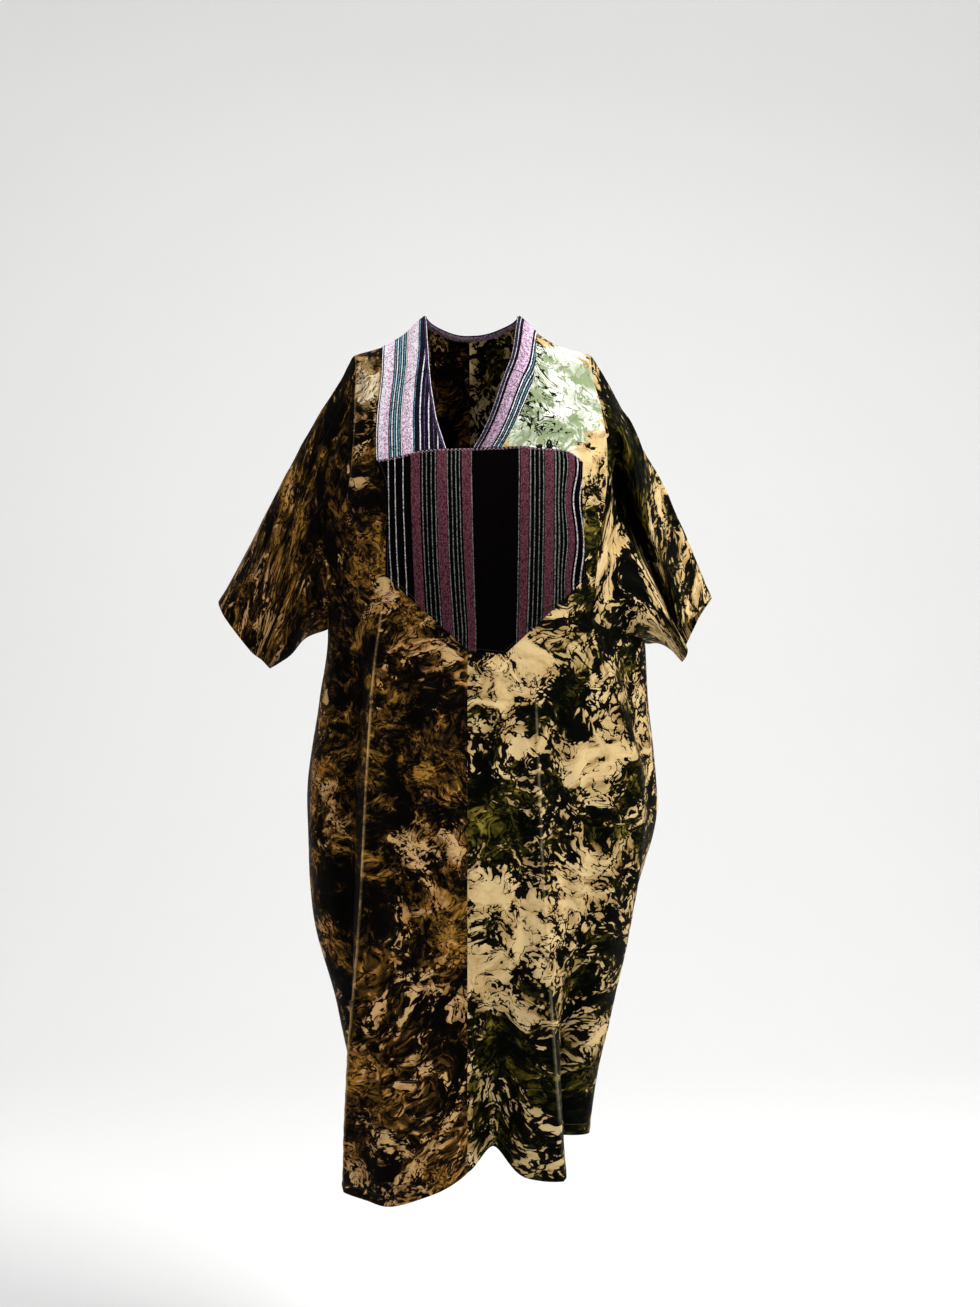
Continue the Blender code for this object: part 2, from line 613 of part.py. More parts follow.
def loose_points(face):
    """Places of a grid over the cloth whose columns follow the crests, closer on the chest."""
    right, left = quarters_of(face)
    runs = row_places(0.0, float(right.run[-1]))[1:-1]
    drops = np.interp(runs, right.run, right.DROPS)
    lines = [np.interp(drops, FOLD_DROPS, CREST_PLACES[name]) for name in COLUMN_CRESTS[face]]
    lines = [-right.half(drops), *lines, left.half(drops)]
    lines.insert([np.mean(line) > 0 for line in lines].index(True), np.zeros(len(runs)))
    columns = []
    for a, b in zip(lines[:-1], lines[1:]):
        count = max(1, round(float((b - a).max()) / COLUMN))
        columns += [a + (b - a) * k / count for k in range(count)]
    return np.array([(column[i], run) for i, run in enumerate(runs) for column in columns[1:]])


Patch = namedtuple("Patch", "points faces flat")
COLUMN_CRESTS = {
    "front": ("right_front_ridge", "left_front_ridge", "left_side_ridge"),
    "back": ("right_back_ridge", "left_back_ridge"),
}


def body_patch(face, cut):
    """The whole front or back as one mesh, with every cut and crest among its edges."""
    outline = cut.outline(face)
    hem_run = float(quarters_of(face)[0].run[-1])
    if face == "front":
        seam = middle_seam(face, cut.neck_foot[1][1], hem_run)
        lines = [
            seam, cut.right_band_edge, cut.left_band_edge, cut.right_band_foot, cut.left_band_foot,
            cut.chest_top, cut.chest_left, cut.chest_foot, cut.chest_right,
        ]
        crests = [
            crest_line(FOLDS[0], 0.32, HEM_DROP),
            crest_line(FOLDS[1], 0.44, HEM_DROP),
            crest_line(FOLDS[2], 0.42, 0.62),
        ]
    else:
        seam = middle_seam(face, NAPE_RUN, hem_run)
        lines = [seam, cut.back_band_edge]
        crests = [crest_line(FOLDS[5], 0.30, HEM_DROP), crest_line(FOLDS[6], 0.30, HEM_DROP)]
    flat, faces = triangles(outline, lines + cut.levels[face] + crests, loose_points(face))
    points = body_points(face, flat[:, 0], flat[:, 1])
    return Patch(points, facing(points, faces, -1 if face == "front" else 1), flat)


def facing(points, faces, y_sign):
    """The faces turned so that, all in all, they point that way along Y."""
    a, b, c = (points[faces[:, k]] for k in range(3))
    return faces if np.cross(b - a, c - a)[:, 1].sum() * y_sign > 0 else faces[:, ::-1]


# Sleeves


def loop_curve(lines, column, at):
    """A closed smooth curve through one column of a sleeve's lines, at places round the loop."""
    loops = np.array([line.loop for line in lines])
    points = np.array([getattr(line, column) for line in lines])
    loops = np.concatenate([loops[-2:] - 1, loops, loops[:2] + 1])
    points = np.vstack([points[-2:], points, points[:2]])
    tangent = (points[2:] - points[:-2]) / (loops[2:] - loops[:-2])[:, None]
    i = np.clip(np.searchsorted(loops, at, side="right") - 1, 1, len(loops) - 3)
    gap = (loops[i + 1] - loops[i])[:, None]
    t = (at - loops[i])[:, None] / gap
    return (
        points[i] * (1 + 2 * t) * (1 - t) ** 2
        + points[i + 1] * t * t * (3 - 2 * t)
        + gap * (tangent[i - 1] * t * (1 - t) ** 2 - tangent[i] * t * t * (1 - t))
    )


def armhole_loop(side):
    """The armhole's points, down the front and up the back, and each one's place round the loop."""
    front = body_points("front", *armhole("front", side).T)
    back = body_points("back", *armhole("back", side).T)[::-1]
    halves = []
    for line, first in ((front, 0.0), (back, 0.5)):
        along = np.concatenate([[0], np.cumsum(np.linalg.norm(np.diff(line, axis=0), axis=1))])
        halves.append(first + 0.5 * along / along[-1])
    return np.vstack([front, back[1:-1]]), np.concatenate([halves[0], halves[1][1:-1]])


def sleeve_patch(side, lines):
    """A sleeve as a grid of rings from the armhole to the cuff."""
    start, at = armhole_loop(side)
    stations = [start] + [loop_curve(lines, name, at) for name in ("third", "two_thirds", "cuff")]
    before, after = 2 * stations[0] - stations[1], 2 * stations[3] - stations[2]
    path = [before, *stations, after]
    rings = []
    for t in np.linspace(0, 3, SLEEVE_ALONG):
        i = min(int(t), 2)
        rings.append(catmull_rom(*path[i : i + 4], t - i))
    points = np.vstack(rings)
    n = len(at)
    faces = []
    for ring in range(SLEEVE_ALONG - 1):
        for i in range(n):
            a, b = ring * n + i, ring * n + (i + 1) % n
            faces += [(a, b, b + n), (a, b + n, a + n)]
    faces = np.array(faces)
    middle = points.mean(axis=0)
    a, b, c = (points[faces[:, k]] for k in range(3))
    outward = (np.cross(b - a, c - a) * ((a + b + c) / 3 - middle)).sum()
    return Patch(points, faces if outward > 0 else faces[:, ::-1], None)


# Walls


def shared_normals(patches):
    """Normals for each patch's points, the same on both sides of every seam."""
    points = np.vstack([patch.points for patch in patches])
    sums = np.zeros_like(points)
    first, parts = 0, []
    for patch in patches:
        a, b, c = (patch.points[patch.faces[:, k]] for k in range(3))
        normal = np.cross(b - a, c - a)
        for k in range(3):
            np.add.at(sums, patch.faces[:, k] + first, normal)
        parts.append(slice(first, first + len(patch.points)))
        first += len(patch.points)
    tree = KDTree(len(points))
    for i, point in enumerate(points):
        tree.insert(point, i)
    tree.balance()
    shared = np.array([sums[[i for _, i, _ in tree.find_range(p, SAME_PLACE)]].sum(axis=0) for p in points])
    shared /= np.maximum(np.linalg.norm(shared, axis=1), 1e-12)[:, None]
    return [shared[part] for part in parts]


def open_edges(faces):
    """The edges that only one face uses, in that face's direction."""
    edges = np.concatenate([faces[:, [0, 1]], faces[:, [1, 2]], faces[:, [2, 0]]])
    _, index, count = np.unique(np.sort(edges, axis=1), axis=0, return_inverse=True, return_counts=True)
    return edges[count[index.reshape(-1)] == 1]


def drawn_in(points, normals, faces):
    """The points with every open edge moved half a seam gap into the piece."""
    edges = open_edges(faces)
    along = points[edges[:, 1]] - points[edges[:, 0]]
    inward = np.cross(normals[edges[:, 0]] + normals[edges[:, 1]], along)
    inward /= np.linalg.norm(inward, axis=1)[:, None]
    total = np.zeros_like(points)
    for k in range(2):
        np.add.at(total, edges[:, k], inward)
    size = np.linalg.norm(total, axis=1)
    on_edge = size > 1e-9
    moved = points.copy()
    # Two edges that meet at an angle add up to less than 2, and need a longer step.
    step = SEAM_GAP / np.maximum(size[on_edge], 0.7)
    moved[on_edge] += total[on_edge] / size[on_edge, None] * step[:, None]
    return moved


def wall(name, patch, normals, faces, low, high, finish):
    """A closed wall over some of a patch's faces, between two distances from its surface."""
    used, index = np.unique(faces, return_inverse=True)
    faces = index.reshape(-1, 3)
    points = drawn_in(patch.points[used], normals[used], faces)
    outer = points + normals[used] * high
    inner = points + normals[used] * low
    n = len(used)
    rim = open_edges(faces)
    # Pieces that meet split the quads of their rims along the same diagonals.
    order = patch.points[used] @ DIAGONAL_ORDER
    a, b = rim[order[rim[:, 0]] < order[rim[:, 1]]].T
    c, d = rim[order[rim[:, 0]] >= order[rim[:, 1]]].T
    sides = np.concatenate([
        np.stack([b, a, a + n], axis=1), np.stack([b, a + n, b + n], axis=1),
        np.stack([d, c, d + n], axis=1), np.stack([c, c + n, d + n], axis=1),
    ])
    everything = np.concatenate([faces, faces[:, ::-1] + n, sides])
    mesh = bpy.data.meshes.new(name)
    mesh.from_pydata(np.vstack([outer, inner]).tolist(), [], everything.tolist())
    mesh.materials.append(material(finish))
    mesh.shade_smooth()
    mesh.set_sharp_from_angle(angle=np.radians(40))
    obj = bpy.data.objects.new(name, mesh)
    bpy.context.scene.collection.objects.link(obj)
    return obj


def material(finish):
    found = bpy.data.materials.get(finish.name)
    if found:
        return found
    made = bpy.data.materials.new(finish.name)
    made.use_nodes = True
    shader = made.node_tree.nodes["Principled BSDF"]
    shader.inputs["Base Color"].default_value = (*finish.colour, 1)
    shader.inputs["Roughness"].default_value = finish.roughness
    shader.inputs["Metallic"].default_value = 0
    return made


# Pieces


def centres(patch):
    return patch.flat[patch.faces].mean(axis=1)


def main():
    for obj in list(bpy.data.objects):
        bpy.data.objects.remove(obj)
    cut = Cut()
    front, back = body_patch("front", cut), body_patch("back", cut)
    sleeves = sleeve_patch("right", RIGHT_SLEEVE), sleeve_patch("left", LEFT_SLEEVE)
    normals = shared_normals([front, back, *sleeves])
    low, high = -CLOTH / 2, CLOTH / 2
    for face, patch, own in (("front", front, normals[0]), ("back", back, normals[1])):
        across, run = centres(patch).T
        level = sum(run > np.interp(across, *line.T) for line in cut.levels[face])
        for i, name in enumerate(LEVEL_NAMES):
            right, left = (level == i) & (across < 0), (level == i) & (across >= 0)
            wall(f"{face}_right_{name}", patch, own, patch.faces[right], low, high, BROWN_ADIRE)
            wall(f"{face}_left_{name}", patch, own, patch.faces[left], low, high, GREEN_ADIRE)
    wall("sleeve_right", sleeves[0], normals[2], sleeves[0].faces, low, high, BROWN_ADIRE)
    wall("sleeve_left", sleeves[1], normals[3], sleeves[1].faces, low, high, GREEN_ADIRE)
    low = high + SEAM_GAP
    high = low + STRIP_CLOTH
    laid_on = (
        ("chest_panel", front, normals[0], cut.chest(), CHEST_STRIPE),
        ("neckband_right", front, normals[0], cut.right_band(), NECK_STRIPE),
        ("neckband_left", front, normals[0], cut.left_band(), NECK_STRIPE),
        ("neckband_back", back, normals[1], cut.back_band(), NECK_STRIPE),
    )
    for name, patch, own, outline, finish in laid_on:
        covered = inside(centres(patch), outline)
        wall(name, patch, own, patch.faces[covered], low, high, finish)


main()
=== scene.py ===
"""The adire dress as it looks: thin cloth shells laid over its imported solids.

Frame: +X to the wearer's left, -Y to the front, +Z up, in metres, with the origin midway
between the shoulder tips. A place on the flat cloth is (across, run): how far it lies from
the middle seam, and how far down from the shoulder seam. "right" and "left" are the
wearer's. The rows of a table() are in millimetres.
"""

from __future__ import annotations

import logging
import math
from dataclasses import dataclass, field
from enum import Enum
from typing import Callable, NamedTuple, Sequence

import bpy
import numpy as np
from bpy.types import GeometryNodeTree, Material, Node, NodeSocket, Object
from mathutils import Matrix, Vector, noise
from mathutils.geometry import delaunay_2d_cdt
from mathutils.kdtree import KDTree


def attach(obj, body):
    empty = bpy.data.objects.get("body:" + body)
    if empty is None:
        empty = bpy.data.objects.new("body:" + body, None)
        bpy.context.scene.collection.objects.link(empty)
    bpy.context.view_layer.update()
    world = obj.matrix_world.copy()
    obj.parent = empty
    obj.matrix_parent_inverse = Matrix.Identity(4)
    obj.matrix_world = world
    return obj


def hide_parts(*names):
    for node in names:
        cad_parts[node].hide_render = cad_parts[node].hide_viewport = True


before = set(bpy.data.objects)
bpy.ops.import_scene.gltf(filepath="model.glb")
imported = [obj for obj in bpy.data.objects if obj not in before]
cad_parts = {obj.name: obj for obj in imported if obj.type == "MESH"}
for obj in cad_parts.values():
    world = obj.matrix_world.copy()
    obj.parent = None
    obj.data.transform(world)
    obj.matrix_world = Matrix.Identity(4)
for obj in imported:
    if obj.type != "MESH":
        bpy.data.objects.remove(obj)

LOG = logging.getLogger("adire_dress")
Array = np.ndarray
Number = np.ndarray | float
Place = tuple[float, float]
Point = tuple[float, float, float]
Edges = dict[str, np.ndarray]


class Face(Enum):
    """The front or the back of the dress."""

    FRONT = "front"
    BACK = "back"

    @property
    def y_sign(self) -> int:
        """Which way along Y the face looks."""
        return -1 if self is FRONT else 1

    @property
    def other(self) -> Face:
        """The face on the far side."""
        return BACK if self is FRONT else FRONT


class Side(Enum):
    """The wearer's right or left."""

    RIGHT = "right"
    LEFT = "left"

    @property
    def sign(self) -> int:
        """Which way along X the side lies."""
        return -1 if self is RIGHT else 1


FRONT, BACK = Face.FRONT, Face.BACK
RIGHT, LEFT = Side.RIGHT, Side.LEFT


class Section(NamedTuple):
    """A level section of the tube: how far down it is, and how far it reaches each way."""

    drop: float
    right_x: float
    left_x: float
    front_y: float
    back_y: float


class Shoulder(NamedTuple):
    """Rise of the shoulder seam over the shoulder tips, by distance from the middle."""

    out: float
    rise: float


class Fold(NamedTuple):
    """A long fold: a crest that runs down through (drop, x) places, and a trough beside it.

    pressed is the height of a sharp edge along the crest.
    """

    name: str
    face: Face
    path: tuple[Place, ...]
    start: float
    full: float
    crest: float
    hem_crest: float
    width: float
    trough: float
    hem_trough: float
    offset: float
    trough_width: float
    pressed: float = 0.0


class Hem(NamedTuple):
    """How far the hem is off its level. place: 0 middle front, 1 side seam, 2 middle back."""

    place: float
    shift: float


class Crease(NamedTuple):
    """A short crease from (x0, z0) to (x1, z1): a ridge, or a trough where height is below 0."""

    x0: float
    z0: float
    x1: float
    z1: float
    width: float
    height: float
    bow: float


class Tone(NamedTuple):
    """A patch of the cloth that is lighter (amount over 0) or darker: where the dye took less or more, and in
    a few patches painted light and painted shade.
    """

    x: float
    z: float
    wide: float
    tall: float
    amount: float


class SleeveLine(NamedTuple):
    """A line along a sleeve from its place on the armhole: 0 is the shoulder tip, 0.5 the underarm."""

    loop: float
    third: Point
    two_thirds: Point
    cuff: Point


class SleeveCrease(NamedTuple):
    """A crease of a sleeve between two (loop, share of the way to the cuff) places."""

    loop0: float
    along0: float
    loop1: float
    along1: float
    width: float
    height: float
    bow: float = 0.0


class Stripe(NamedTuple):
    """A stripe of a woven cloth, in millimetres across it."""

    start: float
    width: float
    colour: str


def metres(value: object) -> object:
    """Millimetres as metres, also within tuples. What isn't a number stays as it is."""
    if isinstance(value, tuple):
        return tuple(metres(part) for part in value)
    return value / 1000 if isinstance(value, (int, float)) else value


def table(kind: type, *rows: tuple, plain: Sequence[int] = ()) -> tuple:
    """A table of named tuples, from rows in millimetres apart from the plain columns."""
    return tuple(kind(*(v if k in plain else metres(v) for k, v in enumerate(row))) for row in rows)


def column(rows: Sequence[NamedTuple], name: str) -> Array:
    """One named column of a table."""
    return np.array([getattr(row, name) for row in rows])


# Curves and flat shapes


def smooth(x: Array, y: Array, at: Number) -> Array:
    """Cubic Hermite curve with limited slopes, so that it never overshoots.

    Args:
        x: Places, rising.
        y: Values at those places.
        at: Places to read.

    Returns:
        The values there.
    """
    gap = np.diff(x)
    slope = np.diff(y) / gap
    tangent = np.empty(len(x))
    tangent[0], tangent[-1] = slope[0], slope[-1]
    same_way = slope[1:] * slope[:-1] > 0
    mean = 2.0 * slope[1:] * slope[:-1] / np.where(same_way, slope[1:] + slope[:-1], 1.0)
    tangent[1:-1] = np.where(same_way, mean, 0.0)
    at = np.clip(at, x[0], x[-1])
    i = np.clip(np.searchsorted(x, at, side="right") - 1, 0, len(x) - 2)
    t = (at - x[i]) / gap[i]
    bend = gap[i] * (tangent[i] * t * (1 - t) ** 2 - tangent[i + 1] * t * t * (1 - t))
    return y[i] + (y[i + 1] - y[i]) * t * t * (3 - 2 * t) + bend


def step_up(low: float, high: float, at: Number) -> Array:
    """0 below low, 1 above high, and a soft step between them."""
    t = np.clip((np.asarray(at, float) - low) / (high - low), 0, 1)
    return t * t * (3 - 2 * t)


def bell(off: Number, width: float) -> Array:
    """1 at no distance, and softly down to 0 beyond the width."""
    return np.exp(-((off / width) ** 2))


def lengths_along(points: Array) -> Array:
    """Distance along a polyline at each of its points."""
    return np.concatenate([[0], np.cumsum(np.linalg.norm(np.diff(points, axis=0), axis=1))])


def spaced(points: Sequence, spacing: float) -> Array:
    """The polyline again, with points about that far apart.

    Args:
        points: The polyline.
        spacing: The distance.

    Returns:
        Its new points.
    """
    points = np.asarray(points, float)
    along = lengths_along(points)
    at = np.linspace(0, along[-1], max(2, round(along[-1] / spacing) + 1))
    return np.stack([np.interp(at, along, points[:, k]) for k in range(points.shape[1])], axis=1)


def catmull_rom(a: Array, b: Array, c: Array, d: Array, t: float) -> Array:
    """The point at t between b and c on the Catmull-Rom curve through all four."""
    return 0.5 * (2 * b + (c - a) * t + (2 * a - 5 * b + 4 * c - d) * t**2 + (3 * b - a - 3 * c + d) * t**3)


def curved(points: Sequence, fine: int = 12) -> Array:
    """A fine polyline on the Catmull-Rom curve through the points.

    Args:
        points: The points.
        fine: Steps between two of them.

    Returns:
        The polyline.
    """
    p = np.asarray(points, float)
    p = np.vstack([2 * p[0] - p[1], p, 2 * p[-1] - p[-2]])
    spans, steps = zip(p[:-3], p[1:-2], p[2:-1], p[3:]), np.linspace(0, 1, fine, endpoint=False)
    return np.array([*(catmull_rom(*four, t) for four in spans for t in steps), p[-2]])


def join(*lines: Sequence) -> Array:
    """One line from several that follow on, without the doubled ends."""
    return np.vstack([np.asarray(lines[0], float), *(np.asarray(line, float)[1:] for line in lines[1:])])


def inside(points: Array, outline: Array) -> Array:
    """Which flat points lie inside a closed outline.

    Args:
        points: The points.
        outline: The outline, not closed.

    Returns:
        True for each point inside.
    """
    a, b = outline, np.roll(outline, -1, axis=0)
    x, y = points[:, :1], points[:, 1:]
    crosses = (a[:, 1] > y) != (b[:, 1] > y)
    rise = np.where(b[:, 1] == a[:, 1], 1e-12, b[:, 1] - a[:, 1])
    hit = x < (b[:, 0] - a[:, 0]) * (y - a[:, 1]) / rise + a[:, 0]
    return (crosses & hit).sum(axis=1) % 2 == 1


def distance_to(points: Array, line: Array) -> Array:
    """Distance from each flat point to a polyline.

    Args:
        points: The points.
        line: The polyline.

    Returns:
        The distances.
    """
    a, way = line[:-1], np.diff(line, axis=0)
    size = np.maximum((way**2).sum(axis=1), 1e-12)
    out = []
    for chunk in np.array_split(points, max(1, len(points) // 2000)):
        off = chunk[:, None] - a
        t = np.clip((off * way).sum(axis=2) / size, 0, 1)
        out.append(np.linalg.norm(off - way * t[..., None], axis=2).min(axis=1))
    return np.concatenate(out)


def unit(vectors: Array) -> Array:
    """The vectors, each made 1 long."""
    return vectors / np.maximum(np.linalg.norm(vectors, axis=1), 1e-12)[:, None]


def inward(line: Array, way: Array, outline: Array, at: int, probe: float = 0.0004) -> Array:
    """Unit vectors square to a line that runs along way, into its outline as told by the point at."""
    square = unit(np.stack([-way[:, 1], way[:, 0]], axis=1))
    return square if inside((line + square * probe)[at : at + 1], outline)[0] else -square


def face_normals(points: Array, faces: Array) -> Array:
    """Each triangle's normal, as long as twice its area. Flat points lie at z 0.

    Args:
        points: The points.
        faces: The triangles.

    Returns:
        One vector for each triangle.
    """
    if points.shape[1] == 2:
        points = np.column_stack([points, np.zeros(len(points))])
    a, b, c = (points[faces[:, k]] for k in range(3))
    return np.cross(b - a, c - a)


def facing(points: Array, faces: Array, out: Array | Point) -> Array:
    """The faces, turned if need be so that all in all they point out."""
    return faces if (face_normals(points, faces) * out).sum() > 0 else faces[:, ::-1]


def wander(points: Array, scale: Point, seed: float) -> Array:
    """Smooth noise between -1 and 1 at points in space, stretched by a scale for each axis."""
    return np.array([noise.noise(Vector(p)) for p in points * np.asarray(scale) + seed])


@dataclass(frozen=True)
class Ripple:
    """Slight unevenness of the cloth: coarse and fine noise, by scale for each axis and by seed."""

    height: float
    coarse: Point
    coarse_seed: float
    fine: Point
    fine_seed: float
    fine_share: float

    def at(self, points: Array) -> Array:
        """How far the cloth is pushed out at points in space."""
        fine = self.fine_share * wander(points, self.fine, self.fine_seed)
        return self.height * (wander(points, self.coarse, self.coarse_seed) + fine)


def crease_height(
    crease: Crease | SleeveCrease, x: Array, y: Array, way: Array, full: float, fades: float
) -> Array:
    """How far a crease pushes the cloth out, with a shallow trough on both sides of it.

    Args:
        crease: The crease.
        x: First flat coordinates, from its start.
        y: Second flat coordinates, from its start.
        way: Its end, from its start.
        full: Share of its length at which it is at its height.
        fades: Share of its length from which it fades.

    Returns:
        The heights at the places.
    """
    size = float(np.hypot(*way))
    way = way / size
    t = (x * way[0] + y * way[1]) / size
    beside = (x * way[1] - y * way[0] - crease.bow * 4 * t * (1 - t)) / crease.width
    fade = step_up(-0.12, full, t) * (1 - step_up(fades, 1.12, t))
    return crease.height * fade * (bell(beside, 1.0) - 0.3 * bell(np.abs(beside) - 2.2, 1.2))


def tones_at(tones: Sequence[Tone], points: Array) -> Array:
    """How light the dye is at points in space.

    Args:
        tones: The patches of dye.
        points: The points.

    Returns:
        One value for each point.
    """
    total = np.zeros(len(points))
    for tone in tones:
        off = ((points[:, 0] - tone.x) / tone.wide) ** 2 + ((points[:, 2] - tone.z) / tone.tall) ** 2
        total += tone.amount * np.exp(-off)
    return total


# The form that the cloth hangs in


@dataclass
class Quarter:
    """Front or back, right or left: a fine table of the tube's points, by drop and by share.

    levels and columns are the size of the table, and turns the points of a section's curve.
    """

    face: Face
    side: Side
    sections: tuple[Section, ...]
    centre_x: float
    side_y: float
    hem_drop: float
    power: float
    levels: int = 301
    columns: int = 161
    turns: int = 321

    def __post_init__(self) -> None:
        """Fills the tables."""
        self.sign, outward = self.side.sign, self.face.y_sign
        self.drops = np.linspace(0, 1, self.levels) ** 2 * self.hem_drop
        self.shares = np.linspace(0, 1, self.columns)
        places = column(self.sections, "drop")
        edge_x = smooth(places, column(self.sections, self.side.value + "_x"), self.drops)
        middle = column(self.sections, self.face.value + "_y")
        self.middle_y = smooth(np.sqrt(places), middle, np.sqrt(self.drops))
        turn = (1 - np.cos(np.linspace(0, np.pi, self.turns))) * np.pi / 4
        reach = np.sin(turn) ** (2 / self.power)
        depth = np.cos(turn).clip(0) ** (2 / self.power)
        rows = []
        for edge, mid in zip(edge_x, self.middle_y):
            x = self.centre_x + (edge - self.centre_x) * reach
            y = self.side_y + (mid - self.side_y) * depth
            along = np.concatenate([[0], np.cumsum(np.hypot(np.diff(x), np.diff(y)))])
            at = self.shares * along[-1]
            rows.append((np.interp(at, along, x), np.interp(at, along, y), along[-1]))
        self.x, self.y, self.length = (np.array(values) for values in zip(*rows))
        across = np.gradient(self.x, axis=1), np.gradient(self.y, axis=1)
        size = np.hypot(*across)
        self.normal_x = -across[1] / size * self.sign * outward
        self.normal_y = across[0] / size * self.sign * outward
        self.normal_x[:, 0], self.normal_y[:, 0] = 0, outward
        self.normal_x[:, -1], self.normal_y[:, -1] = self.sign, 0

    def look_up(self, values: Array, share: Array, drop: Array) -> Array:
        """Bilinear values of a table at shares and drops.

        Args:
            values: The table.
            share: Shares of the way to the side seam.
            drop: Drops.

        Returns:
            The values there.
        """
        row = np.interp(drop, self.drops, np.arange(len(self.drops)))
        col = np.clip(share, 0, 1) * (len(self.shares) - 1)
        i = np.minimum(row.astype(int), len(self.drops) - 2)
        j = np.minimum(col.astype(int), len(self.shares) - 2)
        a, b = row - i, col - j
        near = values[i, j] * (1 - b) + values[i, j + 1] * b
        far = values[i + 1, j] * (1 - b) + values[i + 1, j + 1] * b
        return near * (1 - a) + far * a

    def half(self, drop: Number) -> Array:
        """Length of the section from the middle seam to the side seam."""
        return np.interp(drop, self.drops, self.length)

    def measure(self, middle_z: Array) -> None:
        """Fills the run down the middle at each drop, from the middle's heights."""
        steps = np.hypot(np.diff(self.middle_y), np.diff(middle_z))
        self.run = np.concatenate([[0], np.cumsum(steps)])

    def run_at(self, drop: Number) -> Array:
        """How far down the cloth a drop is."""
        return np.interp(drop, self.drops, self.run)

    def drop_at(self, run: Number) -> Array:
        """The drop of a place that far down the cloth."""
        return np.interp(run, self.run, self.drops)

    def across(self, x: float, drop: float) -> float:
        """Distance from the middle seam of the place with this x.

        Args:
            x: The place along X.
            drop: Its drop.

        Returns:
            The distance along the section.
        """
        row = int(round(float(np.interp(drop, self.drops, np.arange(len(self.drops))))))
        reach = (self.x[row] - self.centre_x) * self.sign
        share = float(np.interp((x - self.centre_x) * self.sign, reach, self.shares))
        return share * float(self.half(drop))


